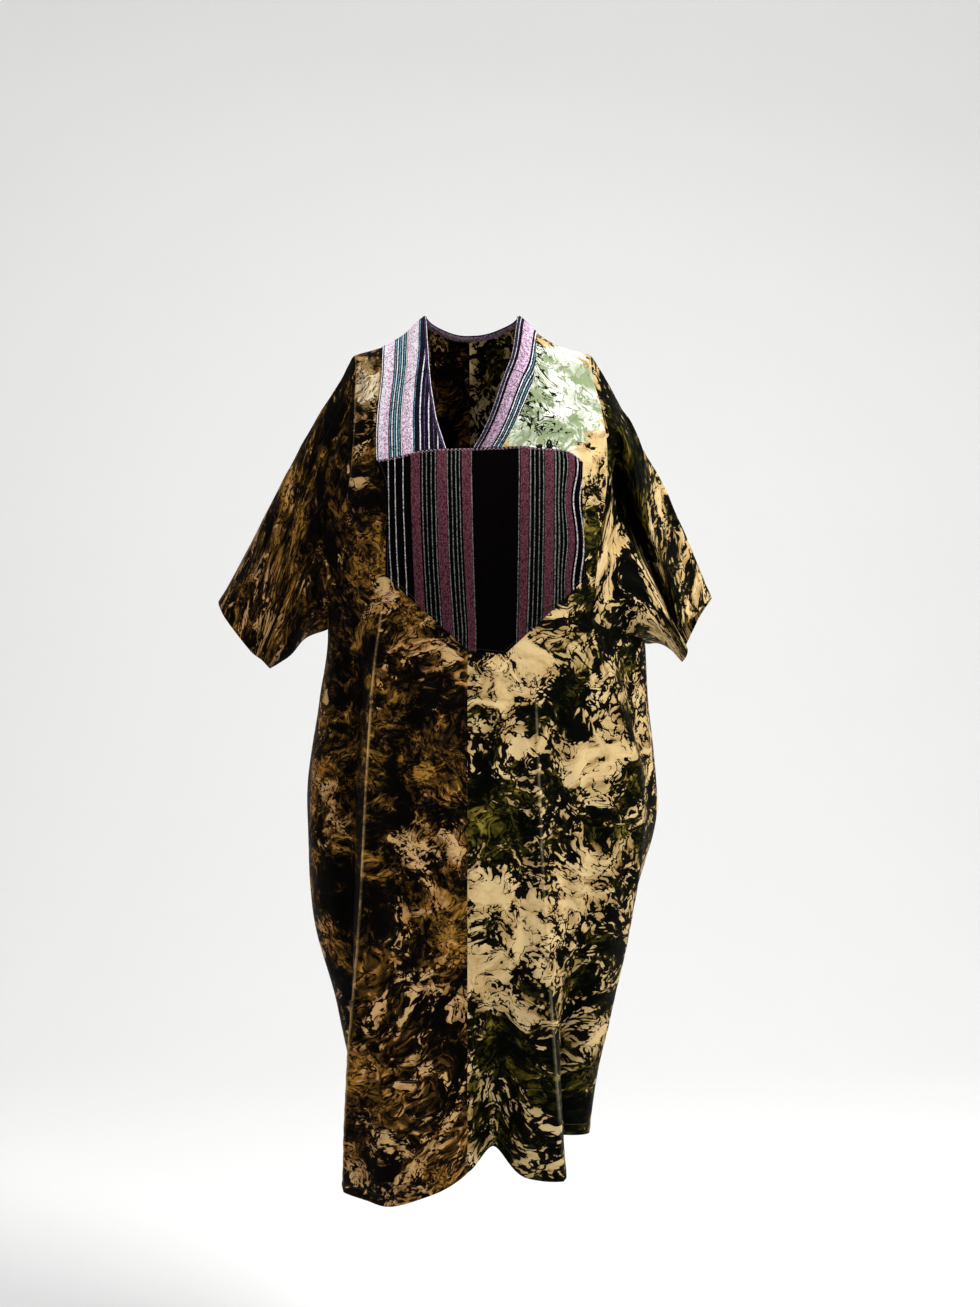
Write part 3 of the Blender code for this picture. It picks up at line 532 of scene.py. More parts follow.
@dataclass
class DressForm:
    """The hollow form: level sections make a tube, and folds and creases push it in and out."""

    centre_x: float = -0.004
    side_y: float = 0.004
    hem_drop: float = 1.045
    slope_fades: float = 0.24
    front_power: float = 2.7
    back_power: float = 2.3
    hem_shift_from: float = 0.66
    fold_levels: int = 106
    seam_blend: float = 0.012
    shoulder_blend: float = 0.02
    ripple: Ripple = Ripple(0.0022, (14, 14, 5), 3.1, (34, 34, 15), 8.4, 0.45)
    ripple_comes: Place = (0.01, 0.1)
    crease_gain: float = 1.3
    sharp_reach: float = 0.0035
    line_from: float = 0.02
    line_points: int = 190
    # The painted highlight along the pressed crests: how soon it comes, how wide it is, and its strength on
    # the left, the front and the back
    highlight_comes: float = 0.1
    highlight_width: float = 0.001
    highlight_left: float = 0.4
    highlight_front: float = 0.8
    highlight_back: float = 0.35
    crease_full: float = 0.25
    crease_fades: float = 0.7
    sections: tuple[Section, ...] = table(
        Section,
        (0, -155, 156, 4, 4), (5, -156, 158, -12, 24), (20, -158, 162, -30, 46), (60, -165, 172, -56, 72),
        (120, -175, 186, -94, 96), (200, -184, 198, -128, 112), (280, -187, 208, -141, 118),
        (375, -187, 225, -146, 122), (460, -198, 230, -152, 130), (590, -213, 241, -157, 140),
        (720, -207, 213, -158, 143), (850, -173, 188, -156, 140), (970, -150, 162, -150, 134),
        (1045, -137, 151, -146, 130),
    )
    shoulders: tuple[Shoulder, ...] = table(
        Shoulder,
        (0, 52), (35, 50), (61, 43), (90, 18), (118, 3), (160, -8),
    )
    folds: tuple[Fold, ...] = table(
        Fold,
        (
            "right_front_ridge", FRONT, ((300, -106), (460, -118), (590, -125), (850, -130), (1045, -128)),
            280, 460, 13, 36, 26, 24, 30, -44, 32, 3.4,
        ),
        (
            "left_front_ridge", FRONT, ((380, 78), (590, 84), (850, 94), (1045, 98)),
            370, 660, 8, 42, 24, 14, 60, 44, 28, 3,
        ),
        (
            "left_side_ridge", FRONT,
            ((280, 143), (375, 160), (460, 182), (590, 212), (750, 196), (1045, 140)),
            270, 420, 8, 2, 28, 12, 0, 36, 26,
        ),
        ("middle_hollow", FRONT, ((600, 10), (1045, 34)), 700, 1045, 0, 0, 30, 52, 52, 0, 46),
        ("right_front_swell", FRONT, ((600, -70), (1045, -88)), 620, 1045, 14, 18, 40, 0, 0, 0, 30),
        (
            "right_back_ridge", BACK, ((250, -90), (590, -112), (1045, -92)),
            200, 800, 12, 20, 30, 18, 30, 46, 30, 2.2,
        ),
        (
            "left_back_ridge", BACK, ((250, 98), (590, 120), (1045, 100)),
            240, 800, 12, 22, 30, 20, 32, -48, 30, 2.4,
        ),
        ("middle_back_ridge", BACK, ((400, 6), (1045, 14)), 450, 1000, 6, 18, 34, 0, 0, 0, 30),
    )
    hems: tuple[Hem, ...] = table(
        Hem,
        (-2.0, 0), (-1.4, -4), (-1.0, -14), (-0.8, -26), (-0.45, -38), (-0.22, -22), (0.0, 1), (0.14, 27),
        (0.31, -4), (0.41, 0), (0.56, 36), (0.75, 32), (1.0, 22), (1.5, 4), (2.0, 0),
        plain=(0,),
    )
    front_creases: tuple[Crease, ...] = table(
        Crease,
        # From the neckband towards the left shoulder
        (84, -46, 138, -16, 4.5, 3, 6), (78, -68, 150, -44, 5, 4.2, -8), (74, -82, 140, -72, 4, -2.6, -6),
        (62, -104, 128, -70, 4.5, 4, 5), (56, -122, 108, -108, 4, 3, -4), (100, -118, 152, -96, 5, -2.8, 4),
        # Between the armholes and the chest panel
        (150, -150, 150, -270, 6, 2.6, 4), (146, -276, 157, -372, 5, -4, 4),
        (-132, -20, -136, -110, 5, 2.6, -4), (-146, -40, -128, -170, 5, -2.4, 5),
        (-122, -150, -146, -250, 6, 2.2, 4), (-120, -300, -160, -350, 7, 2.8, 5),
        # Below the chest panel
        (-60, -400, -74, -640, 10, 3, 6), (-90, -460, -88, -760, 9, -2.8, -6),
        (-30, -520, -34, -860, 10, 2.6, 6), (30, -430, 40, -690, 9, 2.8, -5), (58, -520, 62, -820, 9, -3, 4),
        (120, -440, 134, -760, 11, 4, 6), (150, -560, 150, -860, 10, -3.4, 5),
        (-160, -460, -172, -800, 11, 3.6, -6), (-100, -880, -108, -1040, 11, 3.4, 4),
        (-50, -900, -50, -1040, 10, -3, 4), (72, -900, 76, -1030, 9, 2.8, 4),
        (-20, -410, 60, -430, 8, 1.6, 6),
    )
    back_creases: tuple[Crease, ...] = table(
        Crease,
        # Across the shoulder blades and down the back
        (-120, -60, -70, -160, 8, 3, 8), (122, -64, 64, -170, 8, 3.2, -8), (-146, -120, -120, -300, 9, -3, 6),
        (152, -130, 128, -310, 9, -2.8, -6), (-50, -300, -54, -640, 11, 3.4, 6),
        (52, -340, 48, -700, 11, 3.2, -6), (-156, -420, -166, -760, 11, 3.6, 6),
        (166, -430, 176, -780, 11, 3.4, -6), (20, -120, -20, -260, 8, 2.2, 5),
        (-24, -700, -30, -980, 10, -3, 5), (56, -760, 60, -1000, 10, -3, 5),
    )

    def __post_init__(self) -> None:
        """Makes the quarters, the folds' crests and the creases' places on the cloth."""
        shape = self.sections, self.centre_x, self.side_y, self.hem_drop
        powers = {FRONT: self.front_power, BACK: self.back_power}
        self.quarters = {
            (face, side): Quarter(face, side, *shape, powers[face]) for face in Face for side in Side
        }
        for quarter in self.quarters.values():
            quarter.measure(self.level(self.centre_x, quarter.drops))
        self.fold_drops = np.linspace(0, self.hem_drop, self.fold_levels)
        self.crests = {fold.name: self._crest(fold) for fold in self.folds}
        self.flat_creases = {
            face: [
                (c, np.array(self.on_cloth(face, c.x0, c.z0)), np.array(self.on_cloth(face, c.x1, c.z1)))
                for c in creases
            ]
            for face, creases in ((FRONT, self.front_creases), (BACK, self.back_creases))
        }

    def rise(self, x: Number) -> Array:
        """Height of the shoulder seam over the shoulder tips."""
        return smooth(column(self.shoulders, "out"), column(self.shoulders, "rise"), np.abs(x))

    def level(self, x: Number, drop: Number) -> Array:
        """Height of a place on the form before the hem is shifted."""
        return self.rise(x) * (1 - step_up(0, self.slope_fades, drop)) - drop

    def _crest(self, fold: Fold) -> Array:
        """Signed distance of a fold's crest from its face's middle seam, at each drop.

        Args:
            fold: The fold.

        Returns:
            The distances.
        """
        path = np.array(fold.path)
        x = smooth(path[:, 0], path[:, 1], self.fold_drops)
        sides = [self.quarters[fold.face, RIGHT if a < self.centre_x else LEFT] for a in x]
        return np.array([q.sign * q.across(a, b) for q, a, b in zip(sides, x, self.fold_drops)])

    def _crest_at(self, fold: Fold, drop: Array) -> Array:
        """The same, at any drops."""
        return np.interp(drop, self.fold_drops, self.crests[fold.name])

    def _sharp(self, face: Face) -> list[Fold]:
        """The folds of a face whose crests are pressed to an edge."""
        return [fold for fold in self.folds if fold.face is face and fold.pressed]

    def _push(self, ways: dict[Face, Array], drop: Array) -> Array:
        """How far the folds push the cloth out, by distance from each middle seam.

        Args:
            ways: Distances from each face's middle seam.
            drop: Drops.

        Returns:
            One height for each drop.
        """
        total = np.zeros(len(drop))
        for fold in self.folds:
            beside = ways[fold.face] - self._crest_at(fold, drop)
            to_hem = step_up(fold.full, self.hem_drop + 1e-6, drop)
            crest = fold.crest + (fold.hem_crest - fold.crest) * to_hem
            trough = fold.trough + (fold.hem_trough - fold.trough) * to_hem
            shape = crest * np.exp(-np.abs(beside / fold.width) ** 1.5)
            shape += fold.pressed * np.exp(-np.abs(beside) / self.sharp_reach)
            shape -= trough * bell(beside - fold.offset, fold.trough_width)
            total += shape * step_up(fold.start, fold.full, drop)
        return total

    def pressed_lines(self, face: Face) -> list[Array]:
        """The sharp crests of a face, as lines on the flat cloth.

        Args:
            face: Front or back.

        Returns:
            One line for each pressed fold.
        """
        quarter, out = self.quarters[face, LEFT], []
        for fold in self._sharp(face):
            drops = np.linspace(fold.start + self.line_from, self.hem_drop, self.line_points)
            out.append(np.stack([self._crest_at(fold, drops), quarter.run_at(drops)], axis=1))
        return out

    def wear(self, face: Face, places: Array) -> Array:
        """How strong the painted highlight is along the sharp crests, most on the right front.

        Args:
            face: Front or back.
            places: Flat places.

        Returns:
            0 where there is no painted highlight, to 1.
        """
        drop = self.quarters[face, LEFT].drop_at(places[:, 1])
        total = np.zeros(len(places))
        for fold in self._sharp(face):
            line = bell(places[:, 0] - self._crest_at(fold, drop), self.highlight_width)
            total += line * step_up(fold.start, fold.start + self.highlight_comes, drop)
        total *= np.where(places[:, 0] > 0, self.highlight_left, 1.0)
        return total * (self.highlight_front if face is FRONT else self.highlight_back)

    def _crease(self, face: Face, across: Array, run: Array) -> Array:
        """How far the creases push the cloth out.

        Args:
            face: Front or back.
            across: Distances from the middle seam.
            run: Distances down.

        Returns:
            One height for each place.
        """
        total = np.zeros(len(across))
        for crease, start, end in self.flat_creases[face]:
            x, y = across - start[0], run - start[1]
            total += crease_height(crease, x, y, end - start, self.crease_full, self.crease_fades)
        return total * self.crease_gain

    def points(self, face: Face, across: Array, run: Array) -> Array:
        """Points of the cloth's middle surface.

        Args:
            face: Front or back.
            across: Distances from the middle seam.
            run: Distances down from the shoulder seam.

        Returns:
            One row of x, y, z for each place.
        """
        across, run = np.asarray(across, float), np.asarray(run, float)
        out = np.empty((len(across), 3))
        creased = self._crease(face, across, run)
        for side in Side:
            mine = (across < 0) if side is RIGHT else (across >= 0)
            if not mine.any():
                continue
            quarter = self.quarters[face, side]
            drop = quarter.drop_at(run[mine])
            half = quarter.half(drop)
            share = np.clip(np.abs(across[mine]) / half, 0, 1)
            round_it = quarter.sign * (self.quarters[face.other, side].half(drop) + half * (1 - share))
            tables = quarter.x, quarter.y, quarter.normal_x, quarter.normal_y
            x, y, normal_x, normal_y = (quarter.look_up(values, share, drop) for values in tables)
            z = self.level(x, drop)
            at = np.stack([x, y, z], axis=1)
            edge = step_up(0.0, self.seam_blend, half * (1 - share)) * step_up(0.0, self.shoulder_blend, drop)
            push = self._push({face: quarter.sign * share * half, face.other: round_it}, drop)
            push += creased[mine] * edge + self.ripple.at(at) * step_up(*self.ripple_comes, drop)
            place = quarter.sign * (share if face is FRONT else 2 - share)
            shift = smooth(column(self.hems, "place"), column(self.hems, "shift"), place)
            shift *= step_up(self.hem_shift_from * self.hem_drop, self.hem_drop, drop)
            out[mine] = np.stack([x + normal_x * push, y + normal_y * push, z + shift], axis=1)
        return out

    def frames(self, face: Face, places: Array, tiny: float = 0.0008) -> tuple[Array, Array]:
        """Points and outward normals of the middle surface at flat places.

        Args:
            face: Front or back.
            places: Flat places.
            tiny: The step for the slope.

        Returns:
            The points and the normals.
        """
        a, r = places.T
        sideways = self.points(face, a + tiny, r) - self.points(face, a - tiny, r)
        down = self.points(face, a, r + tiny) - self.points(face, a, np.maximum(r - tiny, 0))
        return self.points(face, a, r), unit(np.cross(down, sideways) * -face.y_sign)

    def on_cloth(self, face: Face, x: float, z: float) -> Place:
        """The place on the flat cloth of a point seen from the front at (x, z).

        Args:
            face: Front or back.
            x: The point's X.
            z: The point's Z.

        Returns:
            The flat place.
        """
        drop = -z
        for _ in range(30):
            drop = max(float(self.rise(x) * (1 - step_up(0, self.slope_fades, drop))) - z, 0.0)
        quarter = self.quarters[face, LEFT if x >= self.centre_x else RIGHT]
        return quarter.sign * quarter.across(x, drop), float(quarter.run_at(drop))

    def line_on_cloth(self, face: Face, outline: Sequence[Place]) -> list[Place]:
        """A line seen from the front, as places on the flat cloth."""
        return [self.on_cloth(face, x, z) for x, z in outline]

    def shoulder_place(self, x: float) -> Place:
        """The place on the shoulder seam with this x."""
        return x - self.centre_x, 0.0

    def side_place(self, face: Face, side: Side, drop: float) -> Place:
        """The place on the side seam, or the shoulder tip for no drop."""
        quarter = self.quarters[face, side]
        return quarter.sign * float(quarter.half(drop)), float(quarter.run_at(drop))

    def hem_run(self, face: Face) -> float:
        """How far down the cloth the hem lies."""
        return float(self.quarters[face, RIGHT].run[-1])


@dataclass
class Cut:
    """The lines along which the cloth is cut, as seen from the front at (x, z)."""

    form: DressForm
    step: float = 0.0045
    neck_side: float = 0.061
    underarm_right: float = 0.365
    underarm_left: float = 0.385
    nape_run: float = 0.055
    back_band_run: float = 0.102
    right_band_top: float = -0.117
    left_band_top: float = 0.084
    right_neckline: tuple[Place, ...] = (
        (-0.0565, -0.001), (-0.053, -0.044), (-0.048, -0.08), (-0.043, -0.107),
    )
    left_neckline: tuple[Place, ...] = (
        (0.0535, -0.008), (0.041, -0.047), (0.0275, -0.09), (0.015, -0.121),
    )
    neck_corners: tuple[Place, Place] = ((-0.032, -0.1425), (0.0035, -0.142))
    right_band_edge: tuple[Place, ...] = ((-0.1165, -0.04), (-0.1195, -0.08), (-0.1205, -0.115))
    left_band_edge: tuple[Place, ...] = (
        (0.082, -0.021), (0.0765, -0.054), (0.0665, -0.086), (0.0535, -0.111),
    )
    left_band_foot: Place = (0.0385, -0.1405)
    chest_top: tuple[Place, ...] = ((0.0785, -0.14), (0.1105, -0.1415), (0.1265, -0.146))
    chest_top_corners: tuple[Place, Place] = ((-0.119, -0.156), (0.1405, -0.157))
    chest_left_edge: tuple[Place, ...] = ((0.1395, -0.195), (0.141, -0.245))
    chest_side_corners: tuple[Place, Place] = ((-0.106, -0.301), (0.143, -0.303))
    chest_foot: tuple[Place, Place] = ((-0.0025, -0.395), (0.042, -0.399))
    chest_right_edge: tuple[Place, ...] = ((-0.1055, -0.264), (-0.1035, -0.225), (-0.1085, -0.185))
    armholes: dict[tuple[Face, Side], tuple[Place, ...]] = field(default_factory=lambda: {
        (FRONT, RIGHT): (
            (-0.1515, -0.068), (-0.1515, -0.14), (-0.1565, -0.19), (-0.16, -0.242), (-0.169, -0.305),
        ),
        (FRONT, LEFT): (
            (0.158, -0.039), (0.1665, -0.074), (0.172, -0.111), (0.1735, -0.149), (0.172, -0.183),
            (0.1665, -0.229), (0.16, -0.271), (0.157, -0.32), (0.164, -0.364),
        ),
        (BACK, RIGHT): ((-0.156, -0.06), (-0.162, -0.14), (-0.168, -0.22), (-0.176, -0.3)),
        (BACK, LEFT): ((0.16, -0.06), (0.168, -0.14), (0.178, -0.22), (0.196, -0.31)),
    })

    def line(self, *places: Sequence) -> Array:
        """A straight line between flat places, in points one step apart."""
        return spaced(places, self.step)

    def curve(self, *places: Sequence) -> Array:
        """A curve through flat places, in points one step apart."""
        return spaced(curved(places), self.step)

    def seen(self, *outline: Place) -> list[Place]:
        """The front's flat places of a line seen from the front."""
        return self.form.line_on_cloth(FRONT, outline)

    def underarm(self, side: Side) -> float:
        """Drop of the underarm."""
        return self.underarm_right if side is RIGHT else self.underarm_left

    def armhole(self, face: Face, side: Side) -> Array:
        """Edge of the armhole, from the shoulder tip to the underarm."""
        tip, foot = (self.form.side_place(face, side, drop) for drop in (0.0, self.underarm(side)))
        return self.curve(tip, *self.form.line_on_cloth(face, self.armholes[face, side]), foot)

    def side_seam(self, face: Face, side: Side) -> Array:
        """Side seam from the underarm to the hem, at the same heights on both faces.

        Args:
            face: Front or back.
            side: Right or left.

        Returns:
            Flat places.
        """
        first, last = self.underarm(side), self.form.hem_drop
        drops = np.linspace(first, last, round((last - first) / self.step) + 1)
        return np.array([self.form.side_place(face, side, drop) for drop in drops])

    def neckline(self, side: Side) -> Array:
        """Front neckline from the shoulder seam to the foot of the neck.

        Args:
            side: Right or left.

        Returns:
            Flat places.
        """
        start = self.form.shoulder_place(side.sign * self.neck_side)
        places = self.right_neckline if side is RIGHT else self.left_neckline
        return self.curve(start, *self.seen(*places, self.neck_corners[side is LEFT]))

    def neck_foot(self) -> Array:
        """The short level edge at the foot of the neck, right to left, through the middle seam.

        Returns:
            Flat places.
        """
        right, left = self.seen(*self.neck_corners)
        middle = (0.0, (right[1] + left[1]) / 2)
        return join(self.line(right, middle), self.line(middle, left))

    def round_the_back(self, right_x: float, left_x: float, run: float) -> Array:
        """A curve round the back of the neck, from the right shoulder seam to the left one.

        Args:
            right_x: Where it starts on the right.
            left_x: Where it ends on the left.
            run: How far down it reaches.

        Returns:
            Flat places.
        """
        middle = 36
        turn = np.linspace(np.pi, 0, 2 * middle + 1)
        out = np.where(np.cos(turn) < 0, self.form.centre_x - right_x, left_x - self.form.centre_x)
        curve = np.stack([np.cos(turn) * out, np.sin(turn) * run], axis=1)
        return join(self.line(*curve[: middle + 1]), self.line(*curve[middle:]))

    def nape(self) -> Array:
        """The neckline round the back."""
        return self.round_the_back(-self.neck_side, self.neck_side, self.nape_run)

    def band_edge(self, side: Side) -> Array:
        """Outer edge of a front neckband, from the shoulder seam down.

        Args:
            side: Right or left.

        Returns:
            Flat places.
        """
        top, places = (
            (self.right_band_top, (*self.right_band_edge, self.chest_top_corners[0]))
            if side is RIGHT else (self.left_band_top, (*self.left_band_edge, self.left_band_foot))
        )
        return self.curve(self.form.shoulder_place(top), *self.seen(*places))

    def half(self, face: Face, side: Side) -> Edges:
        """The named edges of half the front or back, in order round it.

        Args:
            face: Front or back.
            side: Right or left.

        Returns:
            Flat places for each edge, by name.
        """
        whole = self.neck_foot() if face is FRONT else self.nape()
        middle = int(np.argmin(np.abs(whole[:, 0])))
        neck = whole[: middle + 1] if side is RIGHT else whole[middle:][::-1]
        if face is FRONT:
            neck = join(self.neckline(side), neck)
        neck[-1, 0] = 0.0
        foot = (0.0, self.form.hem_run(face))
        tip = self.form.side_place(FRONT, side, 0.0)
        return {
            "shoulder": self.line(tip, self.form.shoulder_place(side.sign * self.neck_side)),
            "neck": neck,
            "middle": self.line((0.0, neck[-1, 1]), foot),
            "hem": self.line(foot, self.form.side_place(face, side, self.form.hem_drop)),
            "side": self.side_seam(face, side)[::-1],
            "armhole": self.armhole(face, side)[::-1],
        }

    def chest(self) -> Edges:
        """The named edges of the chest panel, in order round it.

        Returns:
            Flat places for each edge, by name.
        """
        top_right, top_left = self.seen(*self.chest_top_corners)
        side_right, side_left = self.seen(*self.chest_side_corners)
        foot_right, foot_left = self.seen(*self.chest_foot)
        neck_right, neck_left, band_foot = self.seen(*self.neck_corners, self.left_band_foot)
        return {
            "top": join(
                self.line(top_right, neck_right), self.neck_foot(), self.line(neck_left, band_foot),
                self.curve(band_foot, *self.seen(*self.chest_top), top_left),
            ),
            "left": self.curve(top_left, *self.seen(*self.chest_left_edge), side_left),
            "left_point": self.line(side_left, foot_left),
            "foot": self.line(foot_left, foot_right),
            "right_point": self.line(foot_right, side_right),
            "right": self.curve(side_right, *self.seen(*self.chest_right_edge), top_right),
        }

    def band(self, side: Side | None = None) -> Edges:
        """The named edges of a front neckband, or of the one round the back, in order round it.

        Args:
            side: Right or left, or None for the back.

        Returns:
            Flat places for each edge, by name.
        """
        if side is None:
            outer = self.round_the_back(self.right_band_top, self.left_band_top, self.back_band_run)
            inner = self.nape()
        else:
            outer, inner = self.band_edge(side), self.neckline(side)
        end, start = self.line(outer[-1], inner[-1]), self.line(inner[0], outer[0])
        return {"outer": outer, "end": end, "inner": inner[::-1], "start": start}


# Meshes


@dataclass
class Patch:
    """One layer of a cloth piece: points, triangles, flat places and what hangs on them.

    wrap is the length round a closed tube, and area the area of its cut. Both are 0 for a
    piece that is cut flat.
    """

    points: Array
    faces: Array
    flat: Array
    uv: Array
    to_seam: Array
    to_edge: Array
    tone: Array
    wrap: float = 0.0
    area: float = 0.0
    # The painted highlight at each point, if any
    wear: Array | None = None

    def open_edges(self) -> Array:
        """The edges that only one triangle uses, in that triangle's direction.

        Returns:
            Pairs of points.
        """
        edges = np.concatenate([self.faces[:, pair] for pair in ([0, 1], [1, 2], [2, 0])])
        _, index, count = np.unique(np.sort(edges, axis=1), axis=0, return_inverse=True, return_counts=True)
        return edges[count[index.reshape(-1)] == 1]

    def normals(self) -> Array:
        """Area-weighted normals, not yet unit length.

        Returns:
            One vector for each point.
        """
        normal = face_normals(self.points, self.faces)
        total = np.zeros_like(self.points)
        for k in range(3):
            np.add.at(total, self.faces[:, k], normal)
        return total

    def cut_area(self) -> float:
        """Area of the flat cut."""
        return self.area or float(np.linalg.norm(face_normals(self.flat, self.faces), axis=1).sum() / 2)


def triangulate(
    edges: Edges, spacing: float, rings: Sequence[float], lines: Sequence[Array] = (),
) -> tuple[Array, Array]:
    """Fills an outline with triangles that are finer along its edges.

    Args:
        edges: The outline's edges, in order.
        spacing: Spacing of the grid inside.
        rings: Distances from the outline at which more points lie.
        lines: Lines beside which more points lie.

    Returns:
        Flat points and triangles.
    """
    beside = (-0.0045, -0.0022, -0.0009, 0.0, 0.0009, 0.0022, 0.0045)
    clear, last, own_ring, off_rings = spacing * 0.55, rings[-1], 0.86, 0.0015
    outline = join(*edges.values())[:-1]
    closed = np.vstack([outline, outline[:1]])
    way = np.roll(outline, -1, axis=0) - np.roll(outline, 1, axis=0)
    into = inward(outline, way, outline, at=5)
    loose = []
    for ring in rings:
        at = outline + into * ring
        at = at[inside(at, outline)]
        loose.append(at[distance_to(at, closed) > ring * own_ring])
    low, high = outline.min(axis=0), outline.max(axis=0)
    across = np.arange(math.ceil(low[0] / spacing), high[0] / spacing) * spacing
    run = np.arange(low[1] + spacing / 2, high[1], spacing)
    grid = np.array([(a + (spacing / 2) * (i % 2), r) for i, r in enumerate(run) for a in across])
    grid = grid[inside(grid, outline)]
    for line in lines:
        near = np.vstack([line + (by, 0.0) for by in beside])
        near = near[inside(near, outline)]
        if len(near):
            loose.append(near[distance_to(near, closed) > last + off_rings])
            grid = grid[distance_to(grid, line) > beside[-1] + clear]
    loose.append(grid[distance_to(grid, closed) > last + clear])
    everything = np.vstack([outline, *loose])
    count = len(outline)
    rim = [(i, (i + 1) % count) for i in range(count)]
    found = delaunay_2d_cdt([Vector(p) for p in everything], rim, [], 0, 1e-7)
    flat = np.array([tuple(p) for p in found[0]])
    origin = np.array([o[0] if o else -1 for o in found[3]])
    flat[origin >= 0] = everything[origin[origin >= 0]]
    faces = np.array([tuple(f) for f in found[2]])
    area = face_normals(flat, faces)[:, 2]
    return flat, faces[inside(flat[faces].sum(axis=1) / 3, outline) & (np.abs(area) > 1e-11)]


def share_normals(patches: Sequence[Patch], reach: float = 0.00004) -> list[Array]:
    """Unit normals for each patch's points, the same on both sides of every seam.

    Args:
        patches: The patches.
        reach: How close two points of a seam lie.

    Returns:
        The normals of each patch.
    """
    points = np.vstack([patch.points for patch in patches])
    sums = np.vstack([patch.normals() for patch in patches])
    firsts = np.cumsum([0, *(len(patch.points) for patch in patches)])
    rim = np.concatenate([np.unique(p.open_edges()) + first for p, first in zip(patches, firsts)])
    tree = KDTree(len(rim))
    for i in rim:
        tree.insert(points[i], int(i))
    tree.balance()
    shared = sums.copy()
    for i in rim:
        shared[i] = sums[[j for _, j, _ in tree.find_range(points[i], reach)]].sum(axis=0)
    return np.split(unit(shared), firsts[1:-1])


def add_object(name: str, data: bpy.types.ID) -> Object:
    """An object for some data, linked into the scene.

    Args:
        name: Its name.
        data: The data.

    Returns:
        The object.
    """
    obj = bpy.data.objects.new(name, data)
    bpy.context.scene.collection.objects.link(obj)
    return obj


def make_mesh(
    name: str, points: Array, faces: Array, corner_uv: Array, material: Material,
    shades: dict[str, Array | None] | None = None, sharp: float = 45.0,
) -> Object:
    """A smooth mesh object with a UV map in metres.

    Args:
        name: The object's name.
        points: Its points.
        faces: Its triangles.
        corner_uv: A UV for each corner of each triangle.
        material: Its material.
        shades: Values for each point that the material reads, by name.
        sharp: Edges over this angle, in degrees, stay sharp.

    Returns:
        The object.
    """
    mesh = bpy.data.meshes.new(name)
    mesh.from_pydata(points.tolist(), [], faces.tolist())
    mesh.uv_layers.new(name="UVMap").data.foreach_set("uv", corner_uv.astype(np.float32).ravel())
    for label, values in (shades or {}).items():
        if values is not None:
            layer = mesh.attributes.new(label, "FLOAT", "POINT")
            layer.data.foreach_set("value", values.astype(np.float32))
    mesh.materials.append(material)
    mesh.shade_smooth()
    mesh.set_sharp_from_angle(angle=math.radians(sharp))
    return add_object(name, mesh)


@dataclass(frozen=True)
class Thickness:
    """How thick a piece is over and under its middle surface, and how its edges are finished.

    It sinks towards its seams, is thicker where its edge is turned in, and a rounded edge
    has a line of stitches pulled into it.
    """

    over: float = 0.0005
    under: float = 0.0005
    seam_sink: float = 0.0011
    seam_width: float = 0.0026
    turned: float = 0.0
    turned_extra: float = 0.0007
    turned_blend: float = 0.0012
    rounded: float = 0.0
    edge_share: float = 0.35
    stitch_in: float = 0.0032
    stitch_pull: float = 0.0003
    stitch_width: float = 0.0011
    hem_pull: float = 0.0005
    hem_pull_up: float = 0.002
    hem_pull_width: float = 0.0014

    def layers(self, patch: Patch) -> tuple[Array, Array]:
        """Heights of the outer and the inner layer over the middle surface, at each point.

        Args:
            patch: The middle surface.

        Returns:
            The outer and the inner heights.
        """
        sink = -self.seam_sink * bell(patch.to_seam, self.seam_width)
        over, under = self.over + sink, -self.under + sink
        if self.turned:
            low, high = self.turned - self.turned_blend, self.turned + self.turned_blend
            extra = self.turned_extra * (1 - step_up(low, high, patch.to_edge))
            line = bell(patch.to_edge - self.turned + self.hem_pull_up, self.hem_pull_width)
            over = over + extra - self.hem_pull * line
            under = under - extra
        if self.rounded:
            share = np.clip(patch.to_edge / self.rounded, 0, 1)
            arc = self.edge_share + (1 - self.edge_share) * np.sqrt(share * (2 - share))
            over = -self.under + (over + self.under) * arc
            over = over - self.stitch_pull * bell(patch.to_edge - self.stitch_in, self.stitch_width)
        return over, under


def thin_shell(name: str, patch: Patch, normals: Array, thickness: Thickness, material: Material) -> Object:
    """A cloth piece with an outer and an inner layer and closed edges.

    Args:
        name: The object's name.
        patch: Its middle layer.
        normals: Unit normals of that layer.
        thickness: How thick it is.
        material: Its material.

    Returns:
        The object.
    """
    layers = [patch.points + normals * height[:, None] for height in thickness.layers(patch)]
    count = len(patch.points)
    start, end = patch.open_edges().T
    rims = (end, start, start + count), (end, start + count, end + count)
    sides = [np.stack(corners, axis=1) for corners in rims]
    faces = np.concatenate([patch.faces, patch.faces[:, ::-1] + count, *sides])
    corner_uv = patch.uv[faces % count]
    if patch.wrap:
        u = corner_uv[:, :, 0]
        split = np.ptp(u, axis=1)[:, None] > patch.wrap / 2
        u += patch.wrap * (split & (u < u.min(axis=1)[:, None] + patch.wrap / 2))
    # The painted highlight lies on the outer layer only
    highlight_paint = None if patch.wear is None else np.concatenate([patch.wear, patch.wear * 0])
    shades = {"tone": np.tile(patch.tone, 2), "wear": highlight_paint}
    return make_mesh(name, np.vstack(layers), faces, corner_uv.reshape(-1, 2), material, shades)


# Finishes


def linear(code: str) -> tuple[float, float, float, float]:
    """A hex colour as linear red, green, blue and an alpha of 1."""
    values = (int(code[i : i + 2], 16) / 255 for i in (0, 2, 4))
    return *(((v + 0.055) / 1.055) ** 2.4 if v > 0.04045 else v / 12.92 for v in values), 1.0


